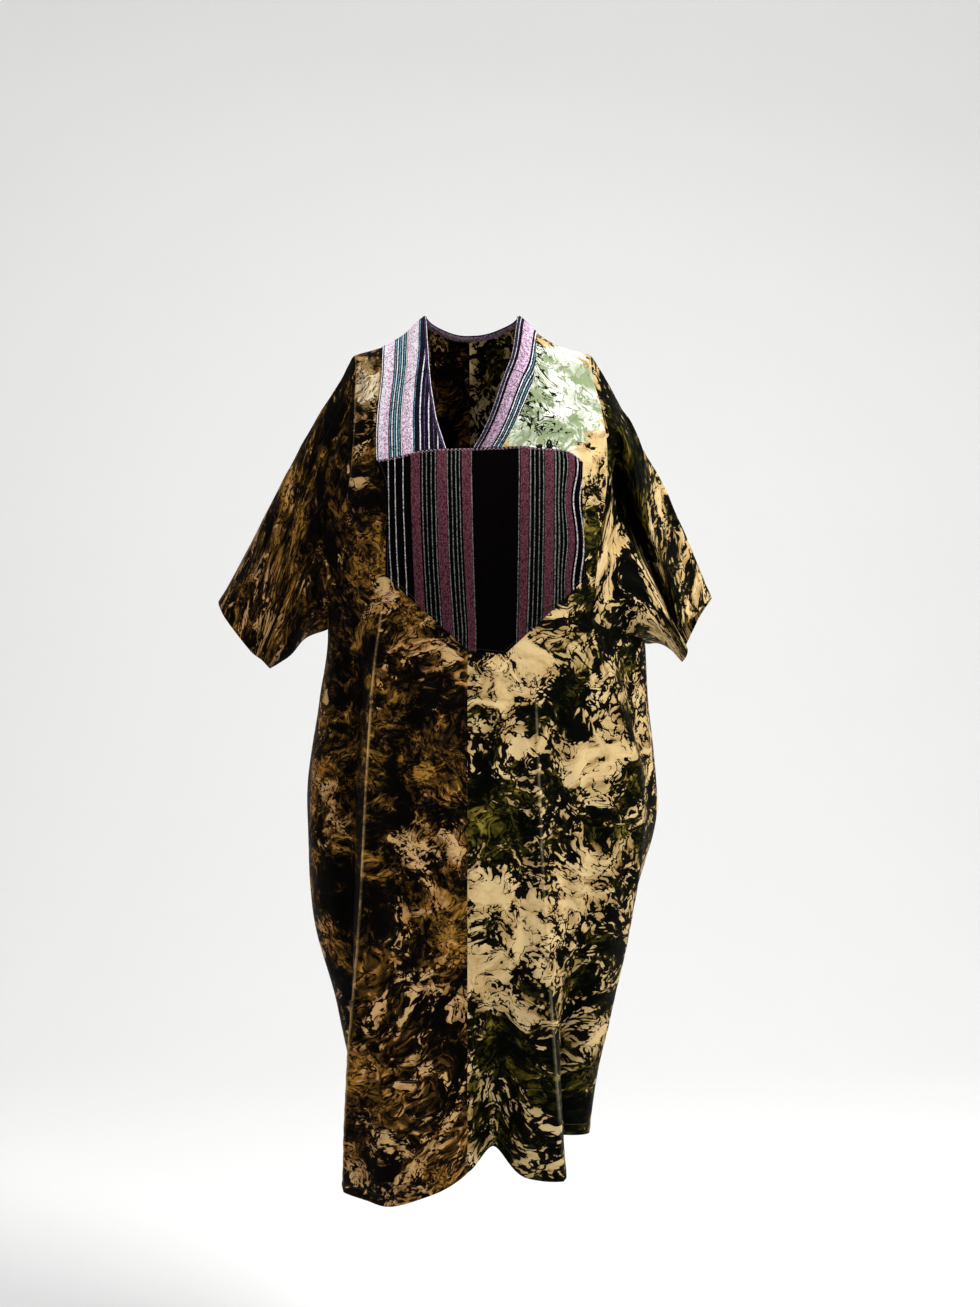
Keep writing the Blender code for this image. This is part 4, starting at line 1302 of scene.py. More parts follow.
class Nodes:
    """Adds nodes to a material's tree and links them as they are made."""

    def __init__(self, name: str) -> None:
        """Makes the material, under this name.

        Args:
            name: The name.
        """
        self.material = bpy.data.materials.new(name)
        self.material.use_nodes = True
        self.tree = self.material.node_tree
        self.shader = self.tree.nodes["Principled BSDF"]

    def put(self, kind: str, inputs: dict | None = None, **settings: str) -> Node:
        """Adds a node, sets it up, and links or fills its inputs.

        Args:
            kind: The node's type.
            inputs: A socket or a value for each of its inputs, by name or number.
            **settings: Its properties.

        Returns:
            The node.
        """
        node = self.tree.nodes.new(kind)
        for key, value in settings.items():
            setattr(node, key, value)
        for key, value in (inputs or {}).items():
            if isinstance(value, NodeSocket):
                self.tree.links.new(value, node.inputs[key])
            else:
                node.inputs[key].default_value = value
        return node

    def math(self, operation: str, *values: NodeSocket | float) -> NodeSocket:
        """A Math node's result."""
        return self.put("ShaderNodeMath", dict(enumerate(values)), operation=operation).outputs[0]

    def plus(self, a: NodeSocket, b: NodeSocket | float) -> NodeSocket:
        """Two values added."""
        return self.math("ADD", a, b)

    def times(self, a: NodeSocket, b: NodeSocket | float) -> NodeSocket:
        """Two values multiplied."""
        return self.math("MULTIPLY", a, b)

    def less(self, a: NodeSocket | float, b: NodeSocket | float) -> NodeSocket:
        """The second value taken from the first."""
        return self.math("SUBTRACT", a, b)

    def off_middle(self, value: NodeSocket) -> NodeSocket:
        """How far a value is off 0.5: 0 along the winding middle lines of a noise."""
        return self.math("ABSOLUTE", self.less(value, 0.5))

    def wave(self, value: NodeSocket, turns: float) -> NodeSocket:
        """The sine of a value times an angle."""
        return self.math("SINE", self.times(value, turns))

    def total(self, *parts: tuple[NodeSocket, float]) -> NodeSocket:
        """The sum of (value, share) pairs.

        Args:
            *parts: The pairs.

        Returns:
            The sum's socket.
        """
        result = self.times(*parts[0])
        for value, share in parts[1:]:
            result = self.math("MULTIPLY_ADD", value, share, result)
        return result

    def vector(self, operation: str, *values: NodeSocket | Point) -> NodeSocket:
        """A Vector Math node's result."""
        return self.put("ShaderNodeVectorMath", dict(enumerate(values)), operation=operation).outputs[0]

    def noise(
        self, at: NodeSocket, scale: float, detail: float = 2.0, rough: float = 0.5, bend: float = 0.0
    ) -> NodeSocket:
        """A Noise Texture node's value."""
        inputs = {"Vector": at, "Scale": scale, "Detail": detail, "Roughness": rough, "Distortion": bend}
        return self.put("ShaderNodeTexNoise", inputs).outputs[0]

    def spread(
        self, value: NodeSocket, low: float, high: float, to_low: float = 0.0, to_high: float = 1.0
    ) -> NodeSocket:
        """A clamped Map Range node's result."""
        return self.put("ShaderNodeMapRange", {0: value, 1: low, 2: high, 3: to_low, 4: to_high}).outputs[0]

    def ramp(self, value: NodeSocket, stops: Sequence[tuple[float, str]], kind: str = "LINEAR") -> NodeSocket:
        """A Color Ramp node's colour.

        Args:
            value: The place on the ramp.
            stops: Its places and colours.
            kind: How it runs between them.

        Returns:
            The colour's socket.
        """
        node = self.put("ShaderNodeValToRGB", {0: value})
        node.color_ramp.interpolation = kind
        elements = node.color_ramp.elements
        elements.remove(elements[-1])
        elements[0].position, elements[0].color = stops[0][0], linear(stops[0][1])
        for place, code in stops[1:]:
            elements.new(place).color = linear(code)
        return node.outputs[0]

    def mix(
        self, factor: NodeSocket | float, a: NodeSocket | tuple, b: NodeSocket | tuple, blend: str = "MIX"
    ) -> NodeSocket:
        """A colour Mix node's result."""
        inputs = {0: factor, 6: a, 7: b}
        return self.put("ShaderNodeMix", inputs, data_type="RGBA", blend_type=blend).outputs[2]

    def uv(self) -> NodeSocket:
        """The piece's UV map."""
        return self.put("ShaderNodeUVMap", uv_map="UVMap").outputs[0]

    def shade_of(self, name: str) -> NodeSocket:
        """One of the values that the mesh keeps for each point."""
        return self.put("ShaderNodeAttribute", attribute_name=name).outputs["Fac"]

    def parts(self, vector: NodeSocket) -> Sequence[NodeSocket]:
        """The X, Y and Z of a vector."""
        return self.put("ShaderNodeSeparateXYZ", {0: vector}).outputs

    def whole(self, *values: NodeSocket | float) -> NodeSocket:
        """A vector from its parts."""
        return self.put("ShaderNodeCombineXYZ", dict(enumerate(values))).outputs[0]

    def shade(
        self, colour: NodeSocket, height: NodeSocket | None = None, distance: float = 0.0003,
        strength: float = 0.6, **fixed: float,
    ) -> Material:
        """Feeds the shader and returns the material.

        Args:
            colour: The colour's socket.
            height: The height's socket, for a bump.
            distance: How high a bump of 1 is, in metres.
            strength: The bump's strength.
            **fixed: Values of the shader's own sockets, with _ for a space.

        Returns:
            The material.
        """
        self.tree.links.new(colour, self.shader.inputs["Base Color"])
        if height is not None:
            bump = self.put("ShaderNodeBump", {"Height": height, "Distance": distance, "Strength": strength})
            self.tree.links.new(bump.outputs[0], self.shader.inputs["Normal"])
        for key, value in fixed.items():
            self.shader.inputs[key.replace("_", " ")].default_value = value
        return self.material


@dataclass(frozen=True)
class AdireFinish:
    """Cotton dyed in the crumple-and-bind way: fans of ink strokes with ragged dark edges."""

    name: str
    bare: tuple[tuple[float, str], ...]
    dyed: tuple[tuple[float, str], ...]
    halo: str
    offset: Place
    lightness: float
    edge: float
    line_reach: float
    net: float
    fans: float
    leaf: float
    leaves: float
    # The colours of the painted pool of light over the shoulders
    glare_colours: tuple[str, str]
    # The colour of the painted highlight along the crests and the armhole edge
    highlight_paint: str
    ink: tuple[float, float, float, float] = (0.003, 0.002, 0.001, 1.0)
    thread: float = 0.00062

    def material(self) -> Material:
        """The finish as a material that reads the piece's UV map, its tone and its painted highlight.

        Returns:
            The material.
        """
        n = Nodes(self.name)
        uv, tone, wear = n.uv(), n.shade_of("tone"), n.shade_of("wear")
        at = n.put("ShaderNodeMapping", {"Vector": uv, "Location": (*self.offset, 0.0)}).outputs[0]
        swayed = self._sway(n, self._sway(n, at, 8.0, 0.085), 55.0, 0.011)
        broad = self._strokes(n, swayed, self.fans, 27.0, 0.3)
        small = self._strokes(n, swayed, self.fans * 2.1, 42.0, 0.4)
        leaf = n.noise(swayed, self.leaf, 2.0, 0.5, 1.6)
        patchy = n.noise(at, 7.0, 3.0, 0.55)
        grain = n.noise(swayed, 230.0, 3.0, 0.6)
        cloud = n.noise(swayed, 13.0, 5.0, 0.6, 0.6)
        # Where it is light the cloth is bare, with leaf-like flecks in the half-dyed parts
        light = n.total((broad, 0.5), (small, 0.42), (patchy, 0.5), (n.math("MINIMUM", tone, 1.5), 0.08))
        light = n.plus(light, self.lightness - 0.21)
        flecks = n.times(n.less(leaf, 0.5), n.spread(light, 0.51, 0.575, self.leaves, 0.03))
        light = n.plus(light, flecks)
        mask = n.spread(light, 0.5 - self.edge, 0.5 + self.edge)
        # Ink runs along the creases as a net of thin lines, thick where the dye is heavy
        net = n.off_middle(n.noise(swayed, self.net, 3.0, 0.5, 1.8))
        line = n.spread(n.less(net, n.spread(light, 0.46, 0.64, self.line_reach, -0.004)), -0.003, 0.006)
        bare = n.ramp(n.total((small, 0.78), (grain, 0.22)), self.bare)
        depth = n.total((cloud, 0.52), (small, 0.36), (leaf, 0.34), (broad, 0.2), (tone, 0.022))
        dyed = n.ramp(n.plus(depth, n.spread(net, 0.0, 0.06, -0.2, -0.09)), self.dyed)
        halo = n.times(n.spread(light, 0.5 + self.edge, 0.6, 1.0, 0.0), n.spread(cloud, 0.42, 0.58))
        bare = n.mix(halo, bare, linear(self.halo), "MULTIPLY")
        # Where the tone is highest, over the shoulders, the cloth is painted near white as a painted pool of
        # light. Fine crushed creases cross it as bumps, and their lines are painted darker as painted shade.
        turned = {"Vector": swayed, "Rotation": (0, 0, 0.75), "Scale": (1.0, 0.28, 1.0)}
        crush = n.off_middle(n.noise(n.put("ShaderNodeMapping", turned).outputs[0], 62.0, 3.0, 0.55, 0.8))
        shadow = n.plus(n.times(cloud, 0.8), n.spread(crush, 0.0, 0.05, -0.04, 0.09))
        white, weak = (linear(code) for code in self.glare_colours)
        painted_glare = n.spread(n.total((tone, 0.3), (small, 0.9), (patchy, 0.3)), 1.14, 1.26)
        bare = n.mix(painted_glare, bare, n.mix(n.spread(shadow, 0.4, 0.52), weak, white))
        dyed = n.mix(n.times(painted_glare, n.spread(grain, 0.4, 0.6, 0.35, 0.95)), dyed, weak)
        colour = n.mix(mask, dyed, n.mix(line, self.ink, bare))
        # A painted highlight: a pale colour along the sharp crests and the armhole edge, where the light
        # catches them
        highlight_paint = n.times(wear, n.spread(n.total((cloud, 0.7), (grain, 0.3)), 0.42, 0.58, 0.1, 0.7))
        colour = n.mix(highlight_paint, colour, linear(self.highlight_paint))
        warp, weft = (n.wave(n.parts(uv)[k], math.tau / self.thread) for k in (0, 1))
        crushed = n.times(n.math("MINIMUM", crush, 0.07), painted_glare)
        height = n.total((n.times(warp, weft), 0.12), (n.noise(uv, 95.0, 4.0, 0.6), 1.0), (crushed, 16.0))
        rough = n.spread(n.noise(uv, 24.0, 3.0), 0.35, 0.65, 0.5, 0.66)
        n.tree.links.new(rough, n.shader.inputs["Roughness"])
        return n.shade(colour, height, 0.001, 0.5, Specular_IOR_Level=0.02)

    @staticmethod
    def _sway(n: Nodes, at: NodeSocket, scale: float, by: float) -> NodeSocket:
        """A place moved about by noise.

        Args:
            n: The material's nodes.
            at: The place.
            scale: The noise's scale.
            by: How far it moves.

        Returns:
            The moved place.
        """
        moved = n.noise(at, scale, 3.0, 0.55).node.outputs["Color"]
        off = n.vector("SUBTRACT", moved, (0.5, 0.5, 0.5))
        off = n.put("ShaderNodeVectorMath", {0: off, "Scale": by}, operation="SCALE").outputs[0]
        return n.vector("ADD", at, off)

    @staticmethod
    def _strokes(n: Nodes, at: NodeSocket, fans: float, scale: float, stretch: float) -> NodeSocket:
        """Noise drawn out into strokes that fan from a point in each cell of a warped net.

        Args:
            n: The material's nodes.
            at: The place on the cloth.
            fans: Cells per metre.
            scale: Scale of the noise.
            stretch: Its scale along the strokes, as a share of that across them.

        Returns:
            The noise's value.
        """
        cells = {"Vector": at, "Scale": fans, "Randomness": 1.0}
        cell = n.put("ShaderNodeTexVoronoi", cells, voronoi_dimensions="2D", feature="F1").outputs
        random = n.put("ShaderNodeSeparateColor", {0: cell["Color"]}).outputs
        local = {"Vector": n.vector("SUBTRACT", at, cell["Position"]), "Angle": n.times(random[0], math.tau)}
        x, y, _ = n.parts(n.put("ShaderNodeVectorRotate", local, rotation_type="Z_AXIS").outputs[0])
        fan = n.plus(n.math("ABSOLUTE", n.plus(n.times(y, 9.0), 1.0)), 0.3)
        drawn = n.whole(n.math("DIVIDE", x, fan), n.times(y, stretch), n.times(random[1], 3.0))
        return n.noise(drawn, scale, 4.0, 0.58, 0.9)


@dataclass(frozen=True)
class StripeFinish:
    """Strip-woven cloth: warp stripes on a plain ground, with a rib across them.

    low and high are the span of the stripes in millimetres, gains the painted light and shade at two places
    down the piece, lighter near the top and darker lower down, and crease_shadow the place down it and the
    reach across of a painted shadow line.
    """

    name: str
    ground: str
    stripes: tuple[Stripe, ...]
    low: float
    high: float
    gains: tuple[float, float, float, float]
    crease_shadow: tuple[float, float, float] = (-1.0, 0.0, 0.0)
    warp: float = 0.00095
    rib: float = 0.0019
    brightest: float = 0.86

    def material(self) -> Material:
        """The finish as a material whose stripes lie along the piece's U.

        Returns:
            The material.
        """
        n = Nodes(self.name)
        uv = n.uv()
        u, v, _ = n.parts(uv)
        sway = n.times(n.less(n.noise(uv, 18.0, 2.0), 0.5), 0.0014)
        place, middle = n.plus(u, sway), (self.low + self.high) / 2
        # Half of the stripes in each ramp, which holds 32 stops at most
        halves = [
            n.ramp(n.spread(place, low / 1000, high / 1000), self._stops(low, high), "CONSTANT")
            for low, high in ((self.low, middle), (middle, self.high))
        ]
        colour = n.mix(n.math("GREATER_THAN", place, middle / 1000), *halves)
        ends = n.math("DIVIDE", u, self.warp)
        end = n.math("FLOOR", ends)
        pick = n.plus(n.math("DIVIDE", v, self.rib * 2), n.times(end, 0.5))
        rib, thread = (n.math("ABSOLUTE", n.wave(value, math.pi)) for value in (pick, ends))
        weave = n.times(n.math("POWER", rib, 0.6), n.math("POWER", thread, 0.5))
        slub = n.noise(n.whole(n.times(u, 900.0), n.times(v, 26.0)), 1.0, 2.0, 0.6)
        cell = n.whole(end, n.math("FLOOR", n.times(pick, 2.0)))
        fleck = n.put("ShaderNodeTexWhiteNoise", {"Vector": cell}, noise_dimensions="3D").outputs["Value"]
        shade = n.times(n.spread(weave, 0.0, 0.8, 0.3, 1.05), n.spread(slub, 0.3, 0.7, 0.78, 1.14))
        # The colour is painted lighter near the top and darker lower down, as painted light and shade
        shade = n.times(n.times(shade, n.spread(fleck, 0.0, 1.0, 0.22, 1.7)), n.spread(v, *self.gains))
        # A painted shadow line where a pressed crease crosses the strips
        off = n.math("ABSOLUTE", n.less(n.less(v, n.times(sway, 0.6)), self.crease_shadow[0]))
        within = n.times(n.math("GREATER_THAN", u, self.crease_shadow[1]), n.math("LESS_THAN", u, self.crease_shadow[2]))
        shade = n.times(shade, n.less(1.0, n.times(n.spread(off, 0.0004, 0.0013, 0.85, 0.0), within)))
        grey = n.put("ShaderNodeCombineColor", dict.fromkeys(range(3), shade)).outputs[0]
        colour = n.vector("MINIMUM", n.mix(1.0, colour, grey, "MULTIPLY"), (self.brightest,) * 3)
        height = n.plus(weave, n.times(n.noise(uv, 60.0, 3.0), 1.2))
        return n.shade(colour, height, 0.0006, 0.55, Roughness=0.85, Specular_IOR_Level=0.02)

    def _stops(self, low: float, high: float) -> list[tuple[float, str]]:
        """A ramp's stops from low to high, where stripes that touch have no ground between them.

        Args:
            low: Where the ramp starts.
            high: Where it ends.

        Returns:
            Places on the ramp with their colours.
        """
        stops: list[tuple[float, str]] = [(0.0, self.ground)]
        for stripe in sorted(self.stripes):
            if low <= stripe.start < high:
                start, end = ((at - low) / (high - low) for at in (stripe.start, stripe.start + stripe.width))
                stops += [(start, stripe.colour), *([(end, self.ground)] if end < 1 else [])]
        later = [stop[0] for stop in stops[1:]] + [math.inf]
        return [stop for stop, after in zip(stops, later) if after - stop[0] >= 0.0008]


@dataclass(frozen=True)
class ThreadFinish:
    """Twisted sewing thread."""

    name: str
    colour: str

    def material(self) -> Material:
        """The finish as a material with a twist across the thread.

        Returns:
            The material.
        """
        n = Nodes(self.name + "_thread")
        fuzz = n.noise(n.put("ShaderNodeTexCoord").outputs["Object"], 2600.0, 2.0)
        colour = n.mix(n.spread(fuzz, 0.35, 0.7, 0.0, 0.45), linear(self.colour), (0.012, 0.01, 0.01, 1))
        return n.shade(colour, fuzz, 0.0002, 0.5, Roughness=0.7)


@dataclass(frozen=True)
class BackdropFinish:
    """Matt pale paper."""

    name: str = "pale_paper"
    bright: float = 0.93

    def material(self) -> Material:
        """The finish as a material.

        Returns:
            The material.
        """
        n = Nodes(self.name)
        grain = n.noise(n.put("ShaderNodeTexCoord").outputs["Object"], 3.0, 2.0)
        shades = ((value,) * 3 + (1,) for value in (self.bright * 0.985, self.bright))
        return n.shade(n.mix(grain, *shades), Roughness=0.9)


def stripes(colour: str, width: float, *starts: float) -> tuple[Stripe, ...]:
    """Stripes of one colour and width."""
    return tuple(Stripe(start, width, colour) for start in starts)


BROWN_ADIRE = AdireFinish(
    "brown_adire",
    bare=((0.38, "221405"), (0.44, "58401f"), (0.51, "927046"), (0.58, "bd9a67")),
    dyed=((0.51, "020100"), (0.57, "090401"), (0.61, "281a09"), (0.66, "523911"), (0.72, "93692a")),
    halo="d0a860", offset=(1.9, 0.6), lightness=-0.058, edge=0.008, line_reach=0.085, net=54.0, fans=6.6,
    leaf=60.0, leaves=0.42, glare_colours=("d8c6a4", "a98a5c"), highlight_paint="d8b274",
)
GREEN_ADIRE = AdireFinish(
    "green_adire",
    bare=((0.36, "94794a"), (0.46, "b99b68"), (0.6, "d3b986")),
    dyed=((0.51, "010200"), (0.58, "080902"), (0.63, "2a2607"), (0.69, "595017"), (0.76, "8a7a33")),
    halo="8a8034", offset=(7.3, 4.1), lightness=0.019, edge=0.005, line_reach=0.125, net=44.0, fans=6.0,
    leaf=62.0, leaves=0.36, glare_colours=("e9ebe0", "84926e"), highlight_paint="ded4ae",
)
MAUVE, GREY, WHITE, NIGHT = "57303a", "666c66", "b6b1b1", "020001"
CHEST_STRIPES = StripeFinish(
    "chest_stripe",
    NIGHT,
    (
        *stripes(WHITE, 1.5, -101.0, -92.4, -82.0, 136.1, 145.4),
        *stripes(GREY, 1.2, -57.9, -52.4, -46.9, -41.7, -26.4, -21.4, -16.4, -11.6),
        *stripes(GREY, 1.2, 77.4, 82.9, 88.5, 94.0, 109.1, 113.7, 118.6, 123.4),
        *stripes(MAUVE, 11.7, -39.1, -8.2), Stripe(-71.7, 11.6, MAUVE), Stripe(65.7, 10.5, MAUVE),
        Stripe(96.4, 11.1, MAUVE), Stripe(124.9, 7.9, MAUVE), Stripe(3.6, 0.9, GREY), Stripe(63.3, 1.0, GREY),
    ),
    low=-130.0, high=165.0, gains=(0.2, 0.42, 1.25, 0.72),
)
LILAC, ROSE, TEAL, NAVY, PALE, PLUM = "d6c0d8", "d0abc4", "54808d", "120f1c", "f0ebf0", "5c4a6a"
RIGHT_BAND_STRIPES = StripeFinish(
    "neck_stripe_right",
    NAVY,
    (
        *stripes(PALE, 1.0, 1.0, 33.6), *stripes(PALE, 1.2, 21.4, 27.6, 79.0), Stripe(57.3, 1.3, PALE),
        Stripe(68.0, 1.4, PALE), Stripe(3.4, 7.4, LILAC), Stripe(43.2, 6.0, LILAC), Stripe(10.8, 6.4, ROSE),
        Stripe(35.2, 8.0, ROSE), Stripe(18.6, 1.2, TEAL), Stripe(24.4, 1.6, TEAL), Stripe(30.6, 1.4, TEAL),
        Stripe(50.0, 0.9, TEAL), *stripes(PLUM, 0.9, 62.6, 74.2),
    ),
    low=-2.0, high=100.0, gains=(0.02, 0.24, 2.00, 1.25), crease_shadow=(0.113, 0.034, 0.075),
)
LEFT_BAND_STRIPES = StripeFinish(
    "neck_stripe_left",
    NAVY,
    (
        Stripe(1.2, 0.8, "5b3f74"), Stripe(3.4, 0.8, PALE), Stripe(7.6, 6.4, "b495ac"),
        Stripe(14.0, 6.2, "bba2ba"), *stripes(PALE, 1.2, 22.4, 27.8, 43.6, 49.4), Stripe(33.2, 1.0, PALE),
        *stripes(TEAL, 1.2, 25.0, 30.6, 46.6), Stripe(35.4, 4.6, LILAC), Stripe(52.0, 6.0, ROSE),
    ),
    low=-2.0, high=60.0, gains=(0.02, 0.24, 1.5, 0.62), crease_shadow=(0.113, 0.002, 0.034),
)
THREADS = {"dark": "1d1420", "white": "b9aeb6", "rose": "9a6480", "brown": "2a1a0c", "olive": "4a4a26"}


# Pieces


@dataclass
class Body:
    """The two fronts and the two backs."""

    form: DressForm
    cut: Cut
    spacing: float = 0.0052
    rings: tuple[float, ...] = (0.0013, 0.003, 0.0056, 0.009)
    hem_turn: float = 0.016
    open_slit: float = 0.02
    back_shift: Place = (1.7, 0.4)
    seam_roll: float = 0.0013
    roll_width: float = 0.0011
    roll_ends: Place = (0.2, 0.27)
    # How strong the painted highlight along the armhole edge is
    seam_highlight: float = 0.9
    front_tones: tuple[Tone, ...] = table(
        Tone,
        # Over the left half: a painted pool of light on the pale shoulder, pale and inky patches down the
        # skirt
        (110, -66, 85, 100, 3.3), (152, -215, 16, 85, -1.1), (80, -120, 50, 30, 1.5), (42, -480, 36, 60, 1.5),
        (40, -630, 36, 45, -1.2), (118, -450, 36, 45, -1.4), (150, -560, 36, 60, 0.9),
        (130, -700, 34, 50, 0.5), (30, -790, 36, 40, 0.7), (40, -890, 40, 40, -1.2),
        (180, -760, 20, 70, -1.2), (125, -830, 20, 40, 0.6), (130, -950, 24, 60, -1.3),
        (50, -1020, 40, 50, -0.8),
        # Over the right half: ochre and beige patches on near black, a painted pool of light on the shoulder,
        # and a painted shadow strip beside the right front ridge, towards the side seam
        (-136, -45, 22, 62, 3.1), (-138, -165, 14, 60, 0.9), (-160, -440, 26, 110, -1.3),
        (-141, -620, 13, 180, -1.2), (-108, -400, 12, 80, 0.9), (-165, -590, 22, 40, 0.9),
        (-165, -760, 34, 100, -1.0), (-70, -460, 50, 70, -0.5), (-60, -640, 50, 45, 0.4),
        (-30, -760, 36, 60, 0.7), (-85, -830, 36, 50, -0.6), (-120, -920, 40, 60, 1.4),
        (-50, -960, 40, 50, 0.9), (-105, -1040, 50, 50, 0.9),
        plain=(4,),
    )
    back_tones: tuple[Tone, ...] = table(
        Tone,
        (100, -80, 60, 60, 0.9), (50, -300, 50, 80, -0.8), (140, -420, 50, 90, 0.8), (60, -620, 50, 80, 0.9),
        (130, -760, 50, 80, -1.1), (50, -930, 60, 60, 0.5), (-100, -100, 50, 70, 0.8),
        (-60, -360, 50, 80, 0.8), (-150, -540, 50, 90, -0.8), (-60, -720, 60, 80, 1.0),
        (-120, -950, 60, 60, 1.1),
        plain=(4,),
    )

    def patch(self, face: Face, side: Side) -> Patch:
        """One half of the front or back.

        Args:
            face: Front or back.
            side: Right or left.

        Returns:
            Its middle layer.
        """
        edges = self.cut.half(face, side)
        flat, faces = triangulate(edges, self.spacing, self.rings, self.form.pressed_lines(face))
        points = self.form.points(face, *flat.T)
        seams = [edges[name] for name in ("shoulder", "middle", "side", "armhole")]
        if face is FRONT:
            seams[1] = seams[1][seams[1][:, 1] > seams[1][0, 1] + self.open_slit]
        to_seam = np.min([distance_to(flat, line) for line in seams], axis=0)
        to_sleeve = distance_to(flat, edges["armhole"])
        # A painted highlight along the armhole edge, where the front stands proud of the sleeve
        armhole_highlight = bell(to_sleeve - self.seam_roll, self.roll_width)
        armhole_highlight *= 1 - step_up(*self.roll_ends, flat[:, 1])
        return Patch(
            points, facing(points, faces, (0, face.y_sign, 0)), flat,
            flat + ((0, 0) if face is FRONT else self.back_shift), to_seam,
            self.form.hem_run(face) - flat[:, 1],
            tones_at(self.front_tones if face is FRONT else self.back_tones, points),
            wear=self.form.wear(face, flat) + self.seam_highlight * armhole_highlight,
        )

    def build(self, face: Face, side: Side, patch: Patch, normals: Array, cloth: Material) -> Object:
        """The object of one half, with its hem turned in."""
        name, hemmed = f"{face.value}_{side.value}_cloth", Thickness(turned=self.hem_turn)
        return thin_shell(name, patch, normals, hemmed, cloth)


@dataclass
class Sleeve:
    """A short set-in sleeve, lofted from its armhole to its cuff.

    shift is where it is cut from the dyed cloth, and reach about how long it is.
    """

    side: Side
    shift: Place
    lines: tuple[SleeveLine, ...]
    creases: tuple[SleeveCrease, ...]
    tones: tuple[Tone, ...]
    rings: int = 62
    reach: float = 0.3
    cuff_turn: float = 0.016
    ripple: Ripple = Ripple(0.0026, (16, 16, 9), 5.7, (42, 42, 24), 1.3, 0.4)
    armhole_blend: float = 0.1
    crease_full: float = 0.22
    crease_fades: float = 0.75

    def loop_curve(self, name: str, at: Array) -> Array:
        """A closed smooth curve through one column of the lines.

        Args:
            name: The column.
            at: Places round the loop.

        Returns:
            The points there.
        """
        loops, points = column(self.lines, "loop"), column(self.lines, name)
        loops = np.concatenate([loops[-2:] - 1, loops, loops[:2] + 1])
        points = np.vstack([points[-2:], points, points[:2]])
        tangent = (points[2:] - points[:-2]) / (loops[2:] - loops[:-2])[:, None]
        i = np.clip(np.searchsorted(loops, at, side="right") - 1, 1, len(loops) - 3)
        gap = (loops[i + 1] - loops[i])[:, None]
        t = (at - loops[i])[:, None] / gap
        bend = gap * (tangent[i - 1] * t * (1 - t) ** 2 - tangent[i] * t * t * (1 - t))
        return points[i] * (1 + 2 * t) * (1 - t) ** 2 + points[i + 1] * t * t * (3 - 2 * t) + bend

    def start(self, form: DressForm, cut: Cut) -> tuple[Array, Array]:
        """The armhole's points, down the front and up the back, and their places round the loop.

        Args:
            form: The form.
            cut: The cut.

        Returns:
            The points and their places.
        """
        front, back = (form.points(face, *cut.armhole(face, self.side).T) for face in Face)
        lines = front, back[::-1]
        shares = [lengths_along(line) for line in lines]
        places = [0.5 * k + 0.5 * share / share[-1] for k, share in enumerate(shares)]
        return np.vstack([front, lines[1][1:-1]]), np.concatenate([places[0], places[1][1:-1]])

    def patch(self, form: DressForm, cut: Cut) -> Patch:
        """The sleeve's middle layer.

        Args:
            form: The form.
            cut: The cut.

        Returns:
            The layer.
        """
        start, at = self.start(form, cut)
        stations = [start, *(self.loop_curve(name, at) for name in ("third", "two_thirds", "cuff"))]
        path = [2 * stations[0] - stations[1], *stations, 2 * stations[3] - stations[2]]
        turn = self.cuff_turn / self.reach
        # More rows near the armhole, round the edge of the turned cuff and near the end
        extra = [0.006, 0.014, *(1 - turn * k for k in (0.8, 0.9, 1, 1.1)), 0.994]
        shares = np.concatenate([np.linspace(0, 1, self.rings) ** 1.05, extra])
        shares = np.unique(np.round(shares, 4))
        spans = [min(int(t * 3), 2) for t in shares]
        grid = np.array([catmull_rom(*path[k : k + 4], t * 3 - k) for k, t in zip(spans, shares)])
        count, share = len(at), np.repeat(shares, len(at))
        steps = np.linalg.norm(np.diff(grid, axis=0), axis=2)
        along = np.vstack([np.zeros((1, count)), np.cumsum(steps, axis=0)])
        around = np.linalg.norm(np.roll(grid, -1, axis=1) - grid, axis=2).mean(axis=0)
        wrap = float(around.sum())
        u = np.concatenate([[0], np.cumsum(around)])[:-1]
        points, a = grid.reshape(-1, 3), np.arange(count)
        b = (a + 1) % count
        quad = np.stack([a, b, b + count, a + count], axis=1)
        quads = np.concatenate([quad + row * count for row in range(len(shares) - 1)])
        faces = np.concatenate([quads[:, [0, 1, 2]], quads[:, [0, 2, 3]]])
        off = points - np.repeat(grid.mean(axis=1), count, axis=0)
        faces = facing(points, faces, off[faces[:, 0]])
        uv = np.stack([np.tile(u, len(shares)), along.ravel()], axis=1)
        area = float(np.linalg.norm(face_normals(points, faces), axis=1).sum() / 2)
        patch = Patch(
            points, faces, uv, uv + self.shift, along.ravel(), (along[-1] - along).ravel(),
            tones_at(self.tones, points), wrap, area,
        )
        push = self.ripple.at(points) + self._crease(np.tile(at, len(shares)), share, wrap)
        push *= step_up(0.0, self.armhole_blend, share)
        patch.points = points + unit(patch.normals()) * push[:, None]
        return patch

    def build(self, patch: Patch, normals: Array, cloth: Material) -> Object:
        """The sleeve's object, with its cuff turned in."""
        return thin_shell(
            f"sleeve_{self.side.value}_cloth", patch, normals, Thickness(turned=self.cuff_turn), cloth
        )

    def _crease(self, loop: Array, share: Array, wrap: float) -> Array:
        """How far the creases push the sleeve out.

        Args:
            loop: Places round the loop.
            share: Shares of the way to the cuff.
            wrap: Length of the loop.

        Returns:
            One height for each place.
        """
        total = np.zeros(len(loop))
        for c in self.creases:
            way = np.array([(c.loop1 - c.loop0) * wrap, (c.along1 - c.along0) * self.reach])
            x, y = ((loop - c.loop0 + 0.5) % 1 - 0.5) * wrap, (share - c.along0) * self.reach
            total += crease_height(c, x, y, way, self.crease_full, self.crease_fades)
        return total


